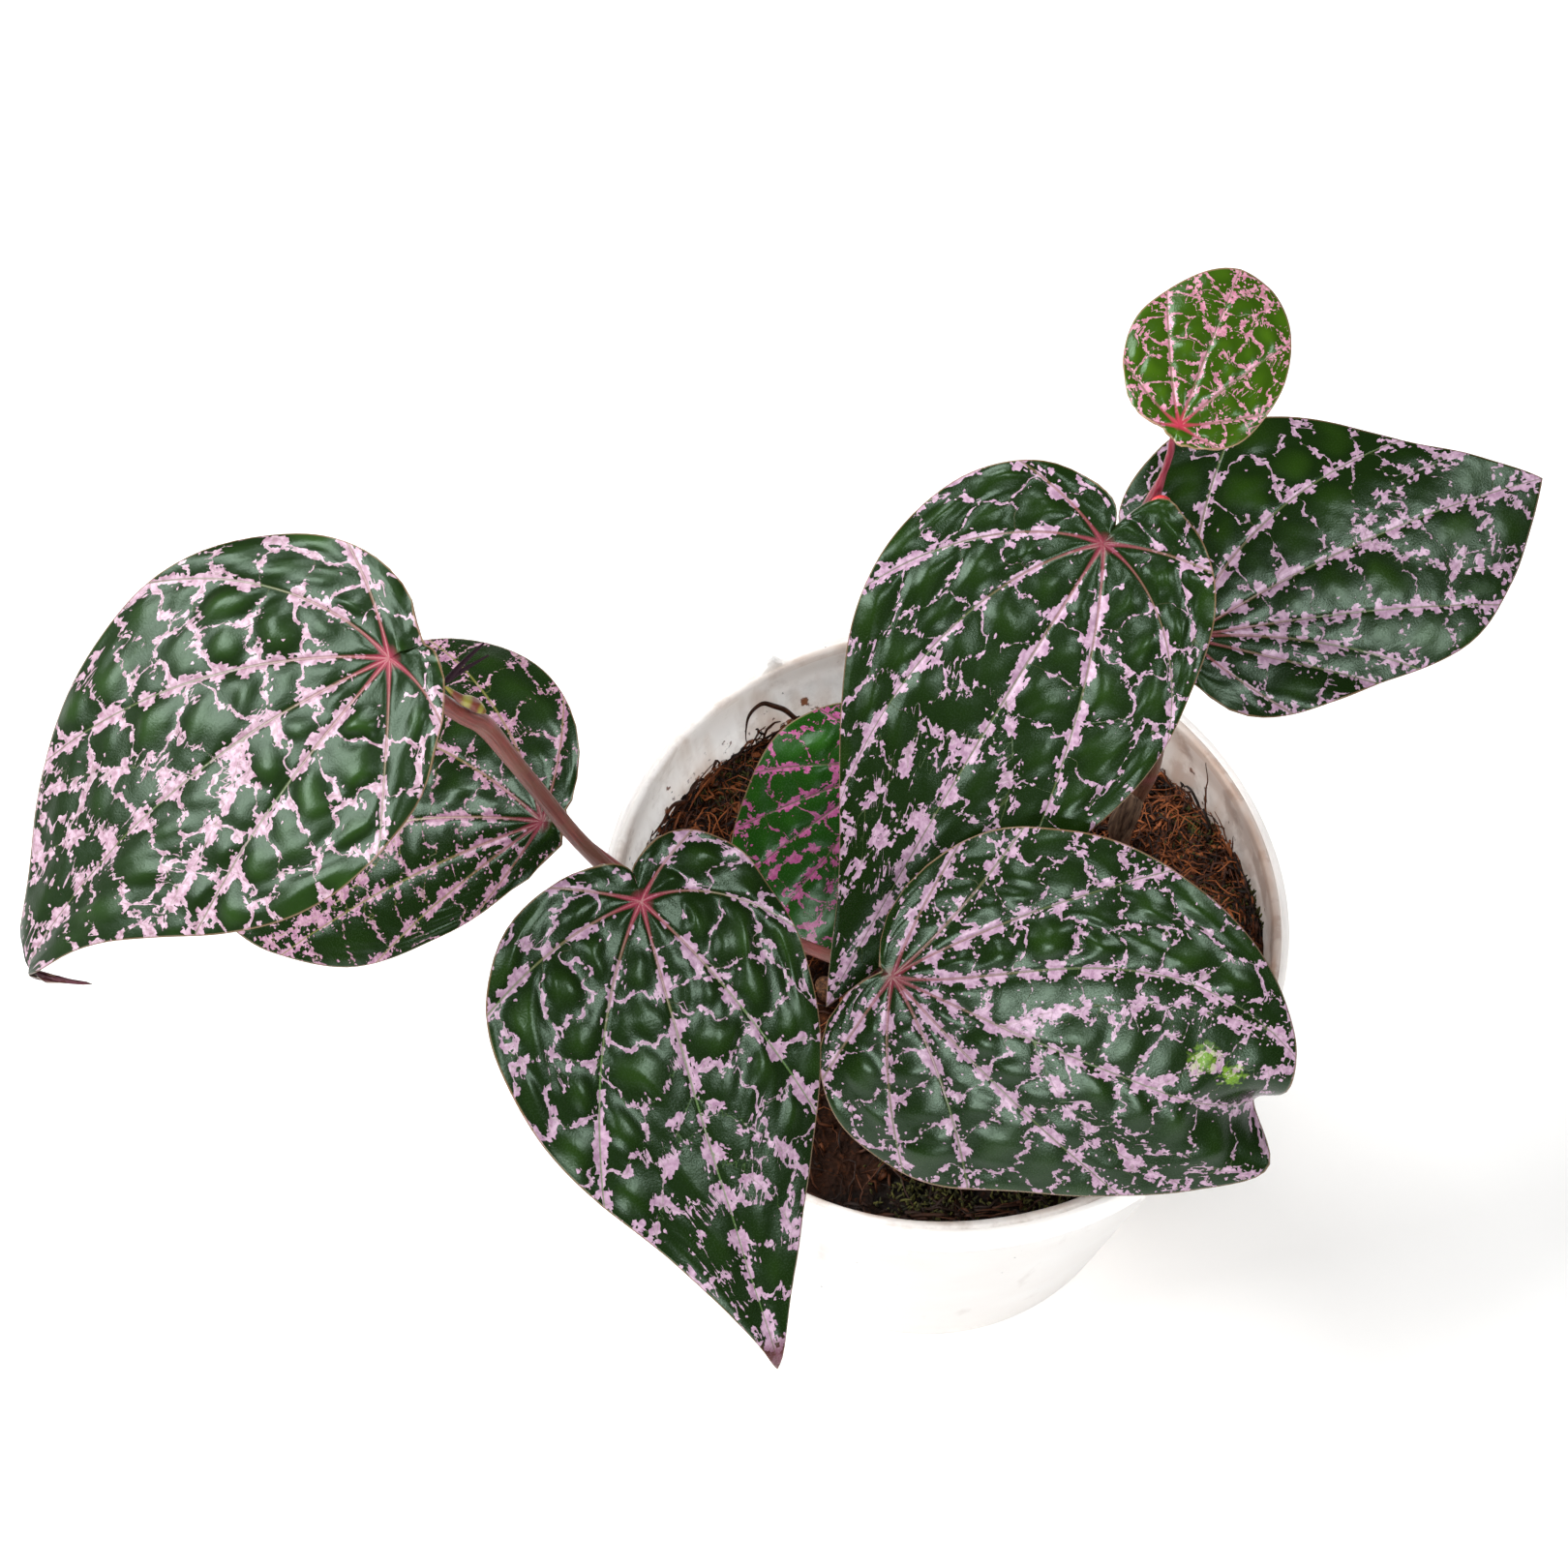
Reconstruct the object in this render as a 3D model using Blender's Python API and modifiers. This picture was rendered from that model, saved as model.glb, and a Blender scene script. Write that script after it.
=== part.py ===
"""A potted red betel vine: two leafy shoots in potting fibre, in a plain white nursery pot.

Metres, +Z up. The origin is the middle of the pot's underside. -Y is the side that is looked at.
"""

import math
import random

import bmesh
import bpy
from mathutils import Vector

MM = 0.001
GAP = 0.3 * MM

# Pot: a thin moulded pot, 15 cm across its rim
POT_HEIGHT = 120 * MM
RIM_RADIUS = 75 * MM
RIM_WIDTH = 3.4 * MM
RIM_SKIRT = 9 * MM
RIM_STEP = 2.3 * MM
BASE_RADIUS = 52 * MM
WALL = 1.5 * MM
FLOOR = 2 * MM
DRAIN_RADIUS = 4 * MM
DRAIN_CIRCLE = 33 * MM
DRAIN_COUNT = 4
BASE_ROUNDING = 1 * MM
INNER_CORNER = 2 * MM
LIP_ROUNDING = 0.8 * MM
GROOVE_OUT = 1.1 * MM
GROOVE_IN = 2.1 * MM
GROOVE_SLOPE = 0.3 * MM
GROOVE_DEPTH = 0.5 * MM
ROUND_STEPS = 48
HOLE_SIDES = 16
SHARP_ANGLE = math.radians(35)

# Soil: coarse fibre, low against the back wall and high against the right wall and the front
SOIL_LEVEL = 105 * MM
SOIL_BACK_DROP = 11 * MM
SOIL_RIGHT_RISE = 7 * MM
SOIL_RINGS = 9
SOIL_FOOT = 5 * MM
SOIL_FOOT_CORNER = 3 * MM
SOIL_LUMPS = 46
SOIL_LUMP_FIELD = 66 * MM
SOIL_LUMP_HEIGHT = 2.6 * MM
SOIL_LUMP_SPREAD = 7 * MM
SOIL_SEED = 7

# Shoots: radii in mm, as in the routes of their stems, and the angle at which stalks meet their blades
STEM = 1.95
STALK = 1.4
YOUNG_STALK = 0.8
NODE = STEM * 1.25
STALK_LEAN = 50
STALK_LAST_STEPS = (3.0, 1.2, 0.0)
TUBE_RESOLUTION = 2
# Where each stem goes down into the soil: x, y, radius and foot height in mm
LEFT_ROOT = (-40.5, -12, STEM + 0.2, 79)
RIGHT_ROOT = (41, 25.5, STEM + 0.5, 79)
STUB_ROOT = (-25, -11, 2.4, 87)

# Blades
BLADE_THICKNESS = 0.8 * MM
BLADE_RINGS = 7
SMALL_BLADE_RINGS = 5
QUILT_SPREAD = 0.85
CELLS_ALONG = 2.5
CELL_DEPTH = 0.35
CELL_STAGGER = 2.1
WAVES_AROUND = 7
SMALL_WAVES_AROUND = 12
PINCH_WIDTH = 6 * MM
PINCH_START = 0.76
RAYS_PER_VEIN_GAP = 3
FOLD_ROUNDING = 3 * MM
TIP_CURL_START = 0.9

# Rays off the midrib, in degrees, on which each blade's reach from its stalk to its margin is given
RAYS = (0, 6, 14, 26, 42, 65, 90, 115, 140, 165, 180)
# Main veins: the direction in which each leaves the stalk, and the ray on which it meets the margin
VEIN_START = (0, 24, 44, 72, 105, 145, 180)
VEIN_END = (0, 11, 27, 52, 92, 140, 180)
VEIN_CURVE = 0.7

# Each blade: the point where its stalk joins it in mm, the midrib's heading and pitch and the roll about it
# in degrees, its bends (droop down, sweep to the left and tip curl in degrees, pinch of the tip, arch and
# fold of the margins in mm), the height of its quilting and of its margin's waves in mm, and its reaches in
# mm on the RAYS.
LEAVES = {
    "leaf_far_left": dict(
        base=(-103, -28, 268), heading=-167, pitch=-22, roll=-17,
        droop=26, sweep=26, curl=135, pinch=0, arch=-2, fold=0, quilt=1.5, wave=0.8, rings=BLADE_RINGS,
        left=(103, 84, 72, 61, 49, 34, 22, 15, 11, 9, 7),
        right=(103, 89, 79, 67, 53, 35, 22, 14, 9, 7, 7),
    ),
    "leaf_under_left": dict(
        base=(-82, -16, 189), heading=164, pitch=-14, roll=-23,
        droop=18, sweep=32, curl=0, pinch=0, arch=-8, fold=-6, quilt=0.9, wave=0.8, rings=BLADE_RINGS,
        left=(85, 80.5, 74, 58, 34, 16, 9, 7, 6, 5, 5),
        right=(85, 81, 77, 73, 64, 41, 22, 11, 6, 5, 5),
    ),
    "leaf_front": dict(
        base=(-61, -46, 212), heading=-73, pitch=-28, roll=-15,
        droop=12, sweep=8, curl=30, pinch=0, arch=-2, fold=0, quilt=1.5, wave=0.8, rings=BLADE_RINGS,
        left=(92, 77, 65, 54, 43, 32, 25, 20, 15, 9, 6),
        right=(92, 76, 64, 55, 47, 38, 28, 17, 11, 8, 6),
    ),
    "leaf_centre": dict(
        base=(28, 30, 218), heading=-128, pitch=-28, roll=-13,
        droop=12, sweep=4, curl=0, pinch=0, arch=-2, fold=0, quilt=1.1, wave=0.8, rings=BLADE_RINGS,
        left=(108, 87.5, 74, 60, 47, 33, 26, 21, 17, 13, 4.5),
        right=(108, 87, 73, 61, 51, 39, 28, 19, 12, 8, 4.5),
    ),
    "leaf_front_right": dict(
        base=(-13, -40, 169), heading=-23, pitch=-13, roll=45,
        droop=20, sweep=2, curl=0, pinch=12, arch=-4, fold=0, quilt=1.0, wave=0.8, rings=BLADE_RINGS,
        left=(85, 85, 83, 75, 62, 46, 30, 15.5, 6.5, 3, 2.5),
        right=(85, 90, 79, 64, 52, 44, 31, 17.5, 7, 3, 2.5),
    ),
    "leaf_rear_right": dict(
        base=(47, 25, 192), heading=34, pitch=5, roll=23,
        droop=12, sweep=-16, curl=0, pinch=0, arch=-3, fold=0, quilt=0.8, wave=1.8, rings=BLADE_RINGS,
        left=(89, 76, 65, 57.5, 49, 40, 24, 7.5, 4.5, 4, 4),
        right=(89, 84, 77, 64, 41, 27, 18, 10, 7, 4, 4),
    ),
    "leaf_young": dict(
        base=(41, 41, 242), heading=68, pitch=16, roll=9,
        droop=12, sweep=-2, curl=0, pinch=0, arch=-1, fold=0, quilt=0.6, wave=0.5, rings=SMALL_BLADE_RINGS,
        left=(36, 34.5, 32, 28, 23, 15, 8.5, 3.5, 3, 3, 3),
        right=(36, 36, 35, 31, 24, 16, 11, 6.5, 4.5, 4, 3),
    ),
    "leaf_low": dict(
        base=(-10.5, 22, 144.5), heading=-135, pitch=-31, roll=-28,
        droop=12, sweep=0, curl=0, pinch=0, arch=-2, fold=0, quilt=0.8, wave=0.8, rings=SMALL_BLADE_RINGS,
        left=(49, 48.5, 46, 40, 33, 27, 21, 16, 11, 6, 5),
        right=(49, 48.5, 46, 40, 33, 27, 21, 16, 11, 6, 5),
    ),
}


def clear_scene():
    for old in list(bpy.data.objects):
        bpy.data.objects.remove(old, do_unlink=True)


def new_collection(name):
    group = bpy.data.collections.new(name)
    bpy.context.scene.collection.children.link(group)
    return group


def plain_material(name, colour, roughness):
    material = bpy.data.materials.new(name)
    material.use_nodes = True
    shader = material.node_tree.nodes["Principled BSDF"]
    shader.inputs["Base Color"].default_value = (*colour, 1.0)
    shader.inputs["Roughness"].default_value = roughness
    shader.inputs["Metallic"].default_value = 0.0
    return material


def add_object(name, mesh, group, material):
    piece = bpy.data.objects.new(name, mesh)
    group.objects.link(piece)
    if material:
        mesh.materials.clear()
        mesh.materials.append(material)
    return piece


def evaluated_mesh(piece):
    """The piece's mesh with its modifiers or bevel applied, and with loose caps welded."""
    graph = bpy.context.evaluated_depsgraph_get()
    mesh = bpy.data.meshes.new_from_object(piece.evaluated_get(graph))
    shape = bmesh.new()
    shape.from_mesh(mesh)
    bmesh.ops.remove_doubles(shape, verts=shape.verts, dist=0.00001)
    shape.to_mesh(mesh)
    shape.free()
    return mesh


def turned_mesh(name, profile, group):
    """A closed shape turned about Z from (radius, height) points that run down its outer side."""
    line = bpy.data.meshes.new(name + "_profile")
    points = [(radius, 0.0, height) for radius, height in profile]
    line.from_pydata(points, [(i, i + 1) for i in range(len(points) - 1)], [])
    guide = add_object(name + "_guide", line, group, None)
    turn = guide.modifiers.new("turn", "SCREW")
    turn.steps = ROUND_STEPS
    turn.render_steps = ROUND_STEPS
    turn.use_merge_vertices = True
    turn.merge_threshold = 0.00001
    bpy.context.view_layer.update()
    mesh = evaluated_mesh(guide)
    bpy.data.objects.remove(guide, do_unlink=True)
    return mesh


def wall_radius(height):
    """Outer radius of the pot's tapered wall at a height."""
    below_rim = RIM_RADIUS - RIM_STEP
    return BASE_RADIUS + (below_rim - BASE_RADIUS) * height / (POT_HEIGHT - RIM_SKIRT)


def make_pot(group, cutters):
    """A thin tapered pot with a stepped rim, a groove round the rim's top and round holes in its floor."""
    inner_edge = RIM_RADIUS - RIM_WIDTH
    top = POT_HEIGHT
    skirt = POT_HEIGHT - RIM_SKIRT
    corner = FLOOR + INNER_CORNER
    profile = [
        (0.0, FLOOR),
        (wall_radius(FLOOR) - WALL - INNER_CORNER, FLOOR),
        (wall_radius(corner) - WALL, corner),
        (wall_radius(skirt) - WALL, skirt),
        (inner_edge, top - LIP_ROUNDING),
        (inner_edge + LIP_ROUNDING, top),
        (RIM_RADIUS - GROOVE_IN, top),
        (RIM_RADIUS - GROOVE_IN + GROOVE_SLOPE, top - GROOVE_DEPTH),
        (RIM_RADIUS - GROOVE_OUT - GROOVE_SLOPE, top - GROOVE_DEPTH),
        (RIM_RADIUS - GROOVE_OUT, top),
        (RIM_RADIUS - 0.7 * LIP_ROUNDING, top - 0.3 * LIP_ROUNDING),
        (RIM_RADIUS, top - LIP_ROUNDING),
        (RIM_RADIUS, skirt),
        (wall_radius(skirt), skirt),
        (wall_radius(BASE_ROUNDING), BASE_ROUNDING),
        (wall_radius(0.0) - BASE_ROUNDING, 0.0),
        (0.0, 0.0),
    ]
    white = plain_material("white moulded plastic", (0.78, 0.76, 0.74), 0.45)
    pot = add_object("pot", turned_mesh("pot", profile, group), group, white)
    for index in range(DRAIN_COUNT):
        angle = math.radians(45 + 360 / DRAIN_COUNT * index)
        place = (DRAIN_CIRCLE * math.cos(angle), DRAIN_CIRCLE * math.sin(angle), FLOOR / 2)
        cut_round_hole(pot, f"drain_{index}", place, DRAIN_RADIUS, 4 * FLOOR, cutters)
    pot.data.shade_smooth()
    pot.data.set_sharp_from_angle(angle=SHARP_ANGLE)


def cut_round_hole(piece, name, middle, radius, depth, cutters):
    """Cuts an upright round hole, centred on middle, through or into the piece."""
    shape = bmesh.new()
    bmesh.ops.create_cone(
        shape, cap_ends=True, segments=HOLE_SIDES, radius1=radius, radius2=radius, depth=depth
    )
    mesh = bpy.data.meshes.new(name)
    shape.to_mesh(mesh)
    shape.free()
    cutter = add_object(name, mesh, cutters, None)
    cutter.location = middle
    cutter.hide_render = True
    cutter.display_type = "WIRE"
    cut = piece.modifiers.new(name, "BOOLEAN")
    cut.operation = "DIFFERENCE"
    cut.solver = "EXACT"
    cut.object = cutter


def soil_lumps():
    """Places, heights and spreads of the clods and dips in the soil, always the same."""
    draw = random.Random(SOIL_SEED)
    lumps = []
    for _ in range(SOIL_LUMPS):
        angle = draw.uniform(0, 2 * math.pi)
        radius = SOIL_LUMP_FIELD * math.sqrt(draw.random())
        height = draw.uniform(-0.7, 1.0) * SOIL_LUMP_HEIGHT
        spread = draw.uniform(0.7, 1.3) * SOIL_LUMP_SPREAD
        lumps.append((radius * math.cos(angle), radius * math.sin(angle), height, spread))
    return lumps


LUMPS = soil_lumps()


def soil_height(x, y):
    """Height of the soil's top: a slope down to the back and up to the right, with clods and dips."""
    back = max(0.0, y / RIM_RADIUS)
    right = max(0.0, x / RIM_RADIUS) * max(0.0, 1 - 1.2 * back)
    height = SOIL_LEVEL - SOIL_BACK_DROP * back**1.5 + SOIL_RIGHT_RISE * right**1.5
    for lump_x, lump_y, lump, spread in LUMPS:
        height += lump * math.exp(-((x - lump_x) ** 2 + (y - lump_y) ** 2) / spread**2)
    return height


def make_soil(group, cutters):
    """The root ball and fibre that fill the pot, with a plain hole for each stem."""
    bottom = FLOOR + GAP
    foot_edge = wall_radius(SOIL_FOOT) - WALL - GAP
    edge = wall_radius(SOIL_LEVEL) - WALL
    profile = [(edge * ring / SOIL_RINGS, SOIL_LEVEL) for ring in range(SOIL_RINGS + 1)]
    profile.append((foot_edge, SOIL_FOOT))
    profile.append((foot_edge - SOIL_FOOT_CORNER, bottom))
    profile.append((0.0, bottom))
    mesh = turned_mesh("soil", profile, group)
    for vertex in mesh.vertices:
        if vertex.co.z < SOIL_LEVEL - MM:
            continue
        height = soil_height(vertex.co.x, vertex.co.y)
        flat_radius = math.hypot(vertex.co.x, vertex.co.y)
        if flat_radius > edge - MM:
            scale = (wall_radius(height) - WALL - GAP) / flat_radius
            vertex.co.x *= scale
            vertex.co.y *= scale
        vertex.co.z = height
    brown = plain_material("coconut fibre and humus", (0.045, 0.022, 0.011), 0.95)
    soil = add_object("soil", mesh, group, brown)
    for name, root in {"left_hole": LEFT_ROOT, "right_hole": RIGHT_ROOT, "stub_hole": STUB_ROOT}.items():
        x, y, radius, foot = (value * MM for value in root)
        floor = foot - GAP
        hole_radius = (radius + 1.5 * GAP) / math.cos(math.pi / HOLE_SIDES)
        middle = (x, y, (POT_HEIGHT + floor) / 2)
        cut_round_hole(soil, name, middle, hole_radius, POT_HEIGHT - floor, cutters)


def smooth_route(points, per_gap):
    """Points along a smooth curve through the given (x, y, z, radius) points, with the radius eased too."""
    route = []
    for index in range(len(points) - 1):
        before = points[max(index - 1, 0)]
        start = points[index]
        end = points[index + 1]
        after = points[min(index + 2, len(points) - 1)]
        for step in range(per_gap):
            t = step / per_gap
            route.append(
                tuple(
                    0.5
                    * (
                        2 * b
                        + (c - a) * t
                        + (2 * a - 5 * b + 4 * c - d) * t**2
                        + (3 * b - a - 3 * c + d) * t**3
                    )
                    for a, b, c, d in zip(before, start, end, after)
                )
            )
    route.append(tuple(points[-1]))
    return route


def tube_mesh(name, points, group):
    """A capped round tube through (x, y, z, radius) points given in mm."""
    route = smooth_route(points, 2)
    curve = bpy.data.curves.new(name, "CURVE")
    curve.dimensions = "3D"
    curve.bevel_depth = 1.0
    curve.bevel_resolution = TUBE_RESOLUTION
    curve.use_fill_caps = True
    curve.resolution_u = 1
    line = curve.splines.new("POLY")
    line.points.add(len(route) - 1)
    for point, (x, y, z, radius) in zip(line.points, route):
        point.co = (x * MM, y * MM, z * MM, 1.0)
        point.radius = radius * MM
    guide = bpy.data.objects.new(name, curve)
    group.objects.link(guide)
    bpy.context.view_layer.update()
    mesh = evaluated_mesh(guide)
    bpy.data.objects.remove(guide, do_unlink=True)
    return mesh


def joined(name, meshes, group, material):
    """One body from overlapping tubes."""
    first = add_object(name, meshes[0], group, material)
    limbs = new_collection(name + "_limbs")
    for index, mesh in enumerate(meshes[1:]):
        add_object(f"{name}_limb_{index}", mesh, limbs, material)
    union = first.modifiers.new("union", "BOOLEAN")
    union.operation = "UNION"
    union.operand_type = "COLLECTION"
    union.collection = limbs
    union.solver = "EXACT"
    bpy.context.view_layer.update()
    mesh = evaluated_mesh(first)
    first.modifiers.clear()
    first.data = mesh
    for limb in list(limbs.objects):
        bpy.data.objects.remove(limb, do_unlink=True)
    bpy.data.collections.remove(limbs)
    first.data.shade_smooth()


class Blade:
    """The surface of one blade, from flat places (u along the midrib, v to its left) to space."""

    def __init__(self, form):
        heading, pitch, roll = (math.radians(form[key]) for key in ("heading", "pitch", "roll"))
        along = Vector(
            (math.cos(pitch) * math.cos(heading), math.cos(pitch) * math.sin(heading), math.sin(pitch))
        )
        level = Vector((-math.sin(heading), math.cos(heading), 0.0))
        above = along.cross(level)
        self.base = Vector(form["base"]) * MM
        self.along = along
        self.side = level * math.cos(roll) + above * math.sin(roll)
        self.normal = above * math.cos(roll) - level * math.sin(roll)
        self.length = form["left"][0] * MM
        self.droop, self.sweep, self.curl = (math.radians(form[key]) for key in ("droop", "sweep", "curl"))
        self.arch, self.fold, self.pinch = (form[key] * MM for key in ("arch", "fold", "pinch"))
        self.quilt, self.wave = form["quilt"] * MM, form["wave"] * MM
        self.reaches = {1: form["left"], -1: form["right"]}

    def reach(self, degrees, hand):
        """Distance from the stalk to the margin, eased between the rays on the log of the reach."""
        logs = [math.log(value * MM) for value in self.reaches[hand]]
        last = len(RAYS) - 1
        k = 0
        while k < last - 1 and degrees > RAYS[k + 1]:
            k += 1
        width = RAYS[k + 1] - RAYS[k]
        t = (degrees - RAYS[k]) / width

        def slope(i):
            low, high = max(i - 1, 0), min(i + 1, last)
            return (logs[high] - logs[low]) / (RAYS[high] - RAYS[low])

        value = (
            (2 * t**3 - 3 * t**2 + 1) * logs[k]
            + (t**3 - 2 * t**2 + t) * width * slope(k)
            + (3 * t**2 - 2 * t**3) * logs[k + 1]
            + (t**3 - t**2) * width * slope(k + 1)
        )
        return math.exp(value)

    def bend(self, u):
        part = u / self.length
        tip = max(0.0, (part - TIP_CURL_START) / (1 - TIP_CURL_START))
        return self.droop * part + self.curl * tip**2, self.sweep * part

    def midrib(self, u, steps=24):
        """Place of the midrib at u along its length, in the blade's own axes."""
        place = Vector((0.0, 0.0, 0.0))
        for step in range(steps):
            droop, sweep = self.bend(u * (step + 0.5) / steps)
            direction = (
                math.cos(droop) * math.cos(sweep),
                math.sin(sweep),
                -math.sin(droop) * math.cos(sweep),
            )
            place += Vector(direction) * (u / steps)
        return place

    def point(self, vein, part, hand):
        """A place on the blade: vein counts from midrib to sinus, part goes from the stalk to the margin."""
        k = min(int(vein), len(VEIN_START) - 2)
        start = VEIN_START[k] + (VEIN_START[k + 1] - VEIN_START[k]) * (vein - k)
        end = VEIN_END[k] + (VEIN_END[k + 1] - VEIN_END[k]) * (vein - k)
        degrees = start + (end - start) * part**VEIN_CURVE
        distance = self.reach(end, hand) * part
        u = distance * math.cos(math.radians(degrees))
        v = hand * distance * math.sin(math.radians(degrees))
        between = math.sin(math.pi * (vein - k)) ** 2
        cells = 1 - CELL_DEPTH * math.cos(2 * math.pi * CELLS_ALONG * part + CELL_STAGGER * k)
        lift = self.quilt * between * cells * math.sin(math.pi * QUILT_SPREAD * part)
        around = hand * math.radians(end)
        ripple = math.sin(WAVES_AROUND * around + 1) + 0.6 * math.sin(SMALL_WAVES_AROUND * around)
        lift += self.wave * part**4 * ripple
        reference = 0.4 * self.length
        lift += self.arch * (v / reference) ** 2
        lift += self.fold * (math.hypot(v, FOLD_ROUNDING) - FOLD_ROUNDING) / reference
        tip = max(0.0, u / self.length - PINCH_START) / (1 - PINCH_START)
        lift -= self.pinch * min(1.0, tip) ** 1.5 * math.exp(-((v / PINCH_WIDTH) ** 2))
        droop, sweep = self.bend(u)
        turned = math.sin(sweep)
        sideways = Vector((-turned * math.cos(droop), math.cos(sweep), turned * math.sin(droop)))
        outward = Vector((math.sin(droop), 0.0, math.cos(droop)))
        local = self.midrib(u) + sideways * v + outward * lift
        return self.base + self.along * local.x + self.side * local.y + self.normal * local.z


def make_blade(name, form, group, material):
    """A blade whose mesh runs along its main veins, thickened downward from its upper face."""
    blade = Blade(form)
    gaps = len(VEIN_START) - 1
    half = gaps * RAYS_PER_VEIN_GAP
    rings = form["rings"]
    shape = bmesh.new()
    bmesh.ops.create_grid(shape, x_segments=2 * half, y_segments=rings, size=1.0)
    for vertex in shape.verts:
        ray = round((vertex.co.x + 1) * half) - half
        ring = round((vertex.co.y + 1) / 2 * rings)
        hand = 1 if ray >= 0 else -1
        vertex.co = blade.point(abs(ray) / RAYS_PER_VEIN_GAP, ring / rings, hand)
    bmesh.ops.remove_doubles(shape, verts=shape.verts, dist=0.00002)
    bmesh.ops.triangulate(shape, faces=shape.faces)
    bmesh.ops.recalc_face_normals(shape, faces=shape.faces)
    if sum(face.normal.dot(blade.normal) for face in shape.faces) < 0:
        bmesh.ops.reverse_faces(shape, faces=shape.faces)
    mesh = bpy.data.meshes.new(name)
    shape.to_mesh(mesh)
    shape.free()
    piece = add_object(name, mesh, group, material)
    thicken = piece.modifiers.new("thickness", "SOLIDIFY")
    thicken.thickness = BLADE_THICKNESS
    thicken.offset = -1.0
    mesh.shade_smooth()


def stalk_end(name, radius, lean_degrees=STALK_LEAN):
    """Last points in mm of a leaf stalk, which comes from behind the blade's foot and stops under it."""
    blade = Blade(LEAVES[name])
    lean = math.radians(lean_degrees)
    backward = -blade.normal * math.cos(lean) - blade.along * math.sin(lean)
    clear = (BLADE_THICKNESS + 1.5 * GAP) / MM + radius * math.sin(lean)
    end = blade.base / MM - blade.normal * clear
    points = []
    for back in STALK_LAST_STEPS:
        place = end + backward * back
        points.append((place.x, place.y, place.z, radius))
    return points


def make_left_shoot(group, material):
    """The left vine: a stem that leans left and forward, with four leaf stalks. Its points are in mm."""
    x, y, radius, foot = LEFT_ROOT
    main = [
        (x, y, foot, radius),
        (x, y, foot + 16, radius),
        (x, y, foot + 31, radius),
        (-42.5, -14, 128, STEM),
        (-46, -18, 150, NODE),
        (-50.5, -22, 161, STEM),
        (-56, -25, 171, NODE),
        (-65, -26.5, 182, STEM * 1.05),
        (-74, -23, 193.3, STEM),
        (-81, -18.2, 203, STEM),
        (-86.8, -14, 211.2, STEM),
        (-91.3, -10.9, 218.8, NODE),
        (-94.6, -13.3, 225.5, STEM),
        (-98, -17.2, 237.1, STALK * 1.15),
        (-100.5, -21, 251, STALK),
    ]
    under = [(-60, -26, 176, STALK), (-66, -22.5, 179, STALK), (-71.5, -19.5, 182.5, STALK * 0.9)]
    front = [(-55.5, -24.5, 170, STALK), (-57, -30, 180, STALK), (-58.5, -37, 194, STALK)]
    right = [
        (-45.5, -17.5, 150, STALK),
        (-38.5, -21.2, 152.2, STALK),
        (-30.7, -24.9, 153, STALK),
        (-22.8, -31, 158, STALK),
        (-17.4, -34.7, 160.3, STALK),
        (-14.6, -36.2, 161.2, STALK),
        (-12.9, -37.2, 163.6, STALK),
    ]
    ends = {"leaf_far_left": main, "leaf_under_left": under, "leaf_front": front, "leaf_front_right": right}
    meshes = []
    for leaf, points in ends.items():
        lean = 0 if leaf == "leaf_front_right" else STALK_LEAN
        meshes.append(tube_mesh(leaf + "_stalk", points + stalk_end(leaf, STALK, lean), group))
    joined("shoot_left", meshes, group, material)


def make_right_shoot(group, material):
    """The right vine: an upright stem with the stalks of four leaves. Its points are in mm."""
    x, y, radius, foot = RIGHT_ROOT
    main = [
        (x, y, foot, radius),
        (x, y, foot + 15, radius),
        (x, y, foot + 30, radius),
        (42, 24.5, 123, STEM),
        (44, 24, 140, NODE),
        (44.8, 24.2, 152, STEM),
        (44.5, 24.4, 162, NODE * 0.95),
        (42, 26, 176, STEM * 0.95),
        (37, 29.5, 189, STEM * 0.9),
        (33.5, 34, 200, NODE * 0.85),
        (35, 38, 209, STEM * 0.7),
        (38, 40, 218, NODE * 0.6),
        (39.4, 40.5, 226, YOUNG_STALK),
        (40, 40, 234, YOUNG_STALK),
    ]
    low = [(43.8, 24, 138, STALK), (35, 26.5, 140, STALK), (22, 28, 142, STALK), (6, 27, 144, STALK)]
    rear = [(44.5, 24.4, 162, STALK), (46.5, 23.5, 170, STALK), (47, 22.5, 180, STALK)]
    centre = [(33.6, 34, 200, STALK), (32.5, 35, 206, STALK)]
    meshes = [tube_mesh("young_stalk", main + stalk_end("leaf_young", YOUNG_STALK), group)]
    for leaf, points in {"leaf_low": low, "leaf_rear_right": rear, "leaf_centre": centre}.items():
        meshes.append(tube_mesh(leaf + "_stalk", points + stalk_end(leaf, STALK), group))
    joined("shoot_right", meshes, group, material)


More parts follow.
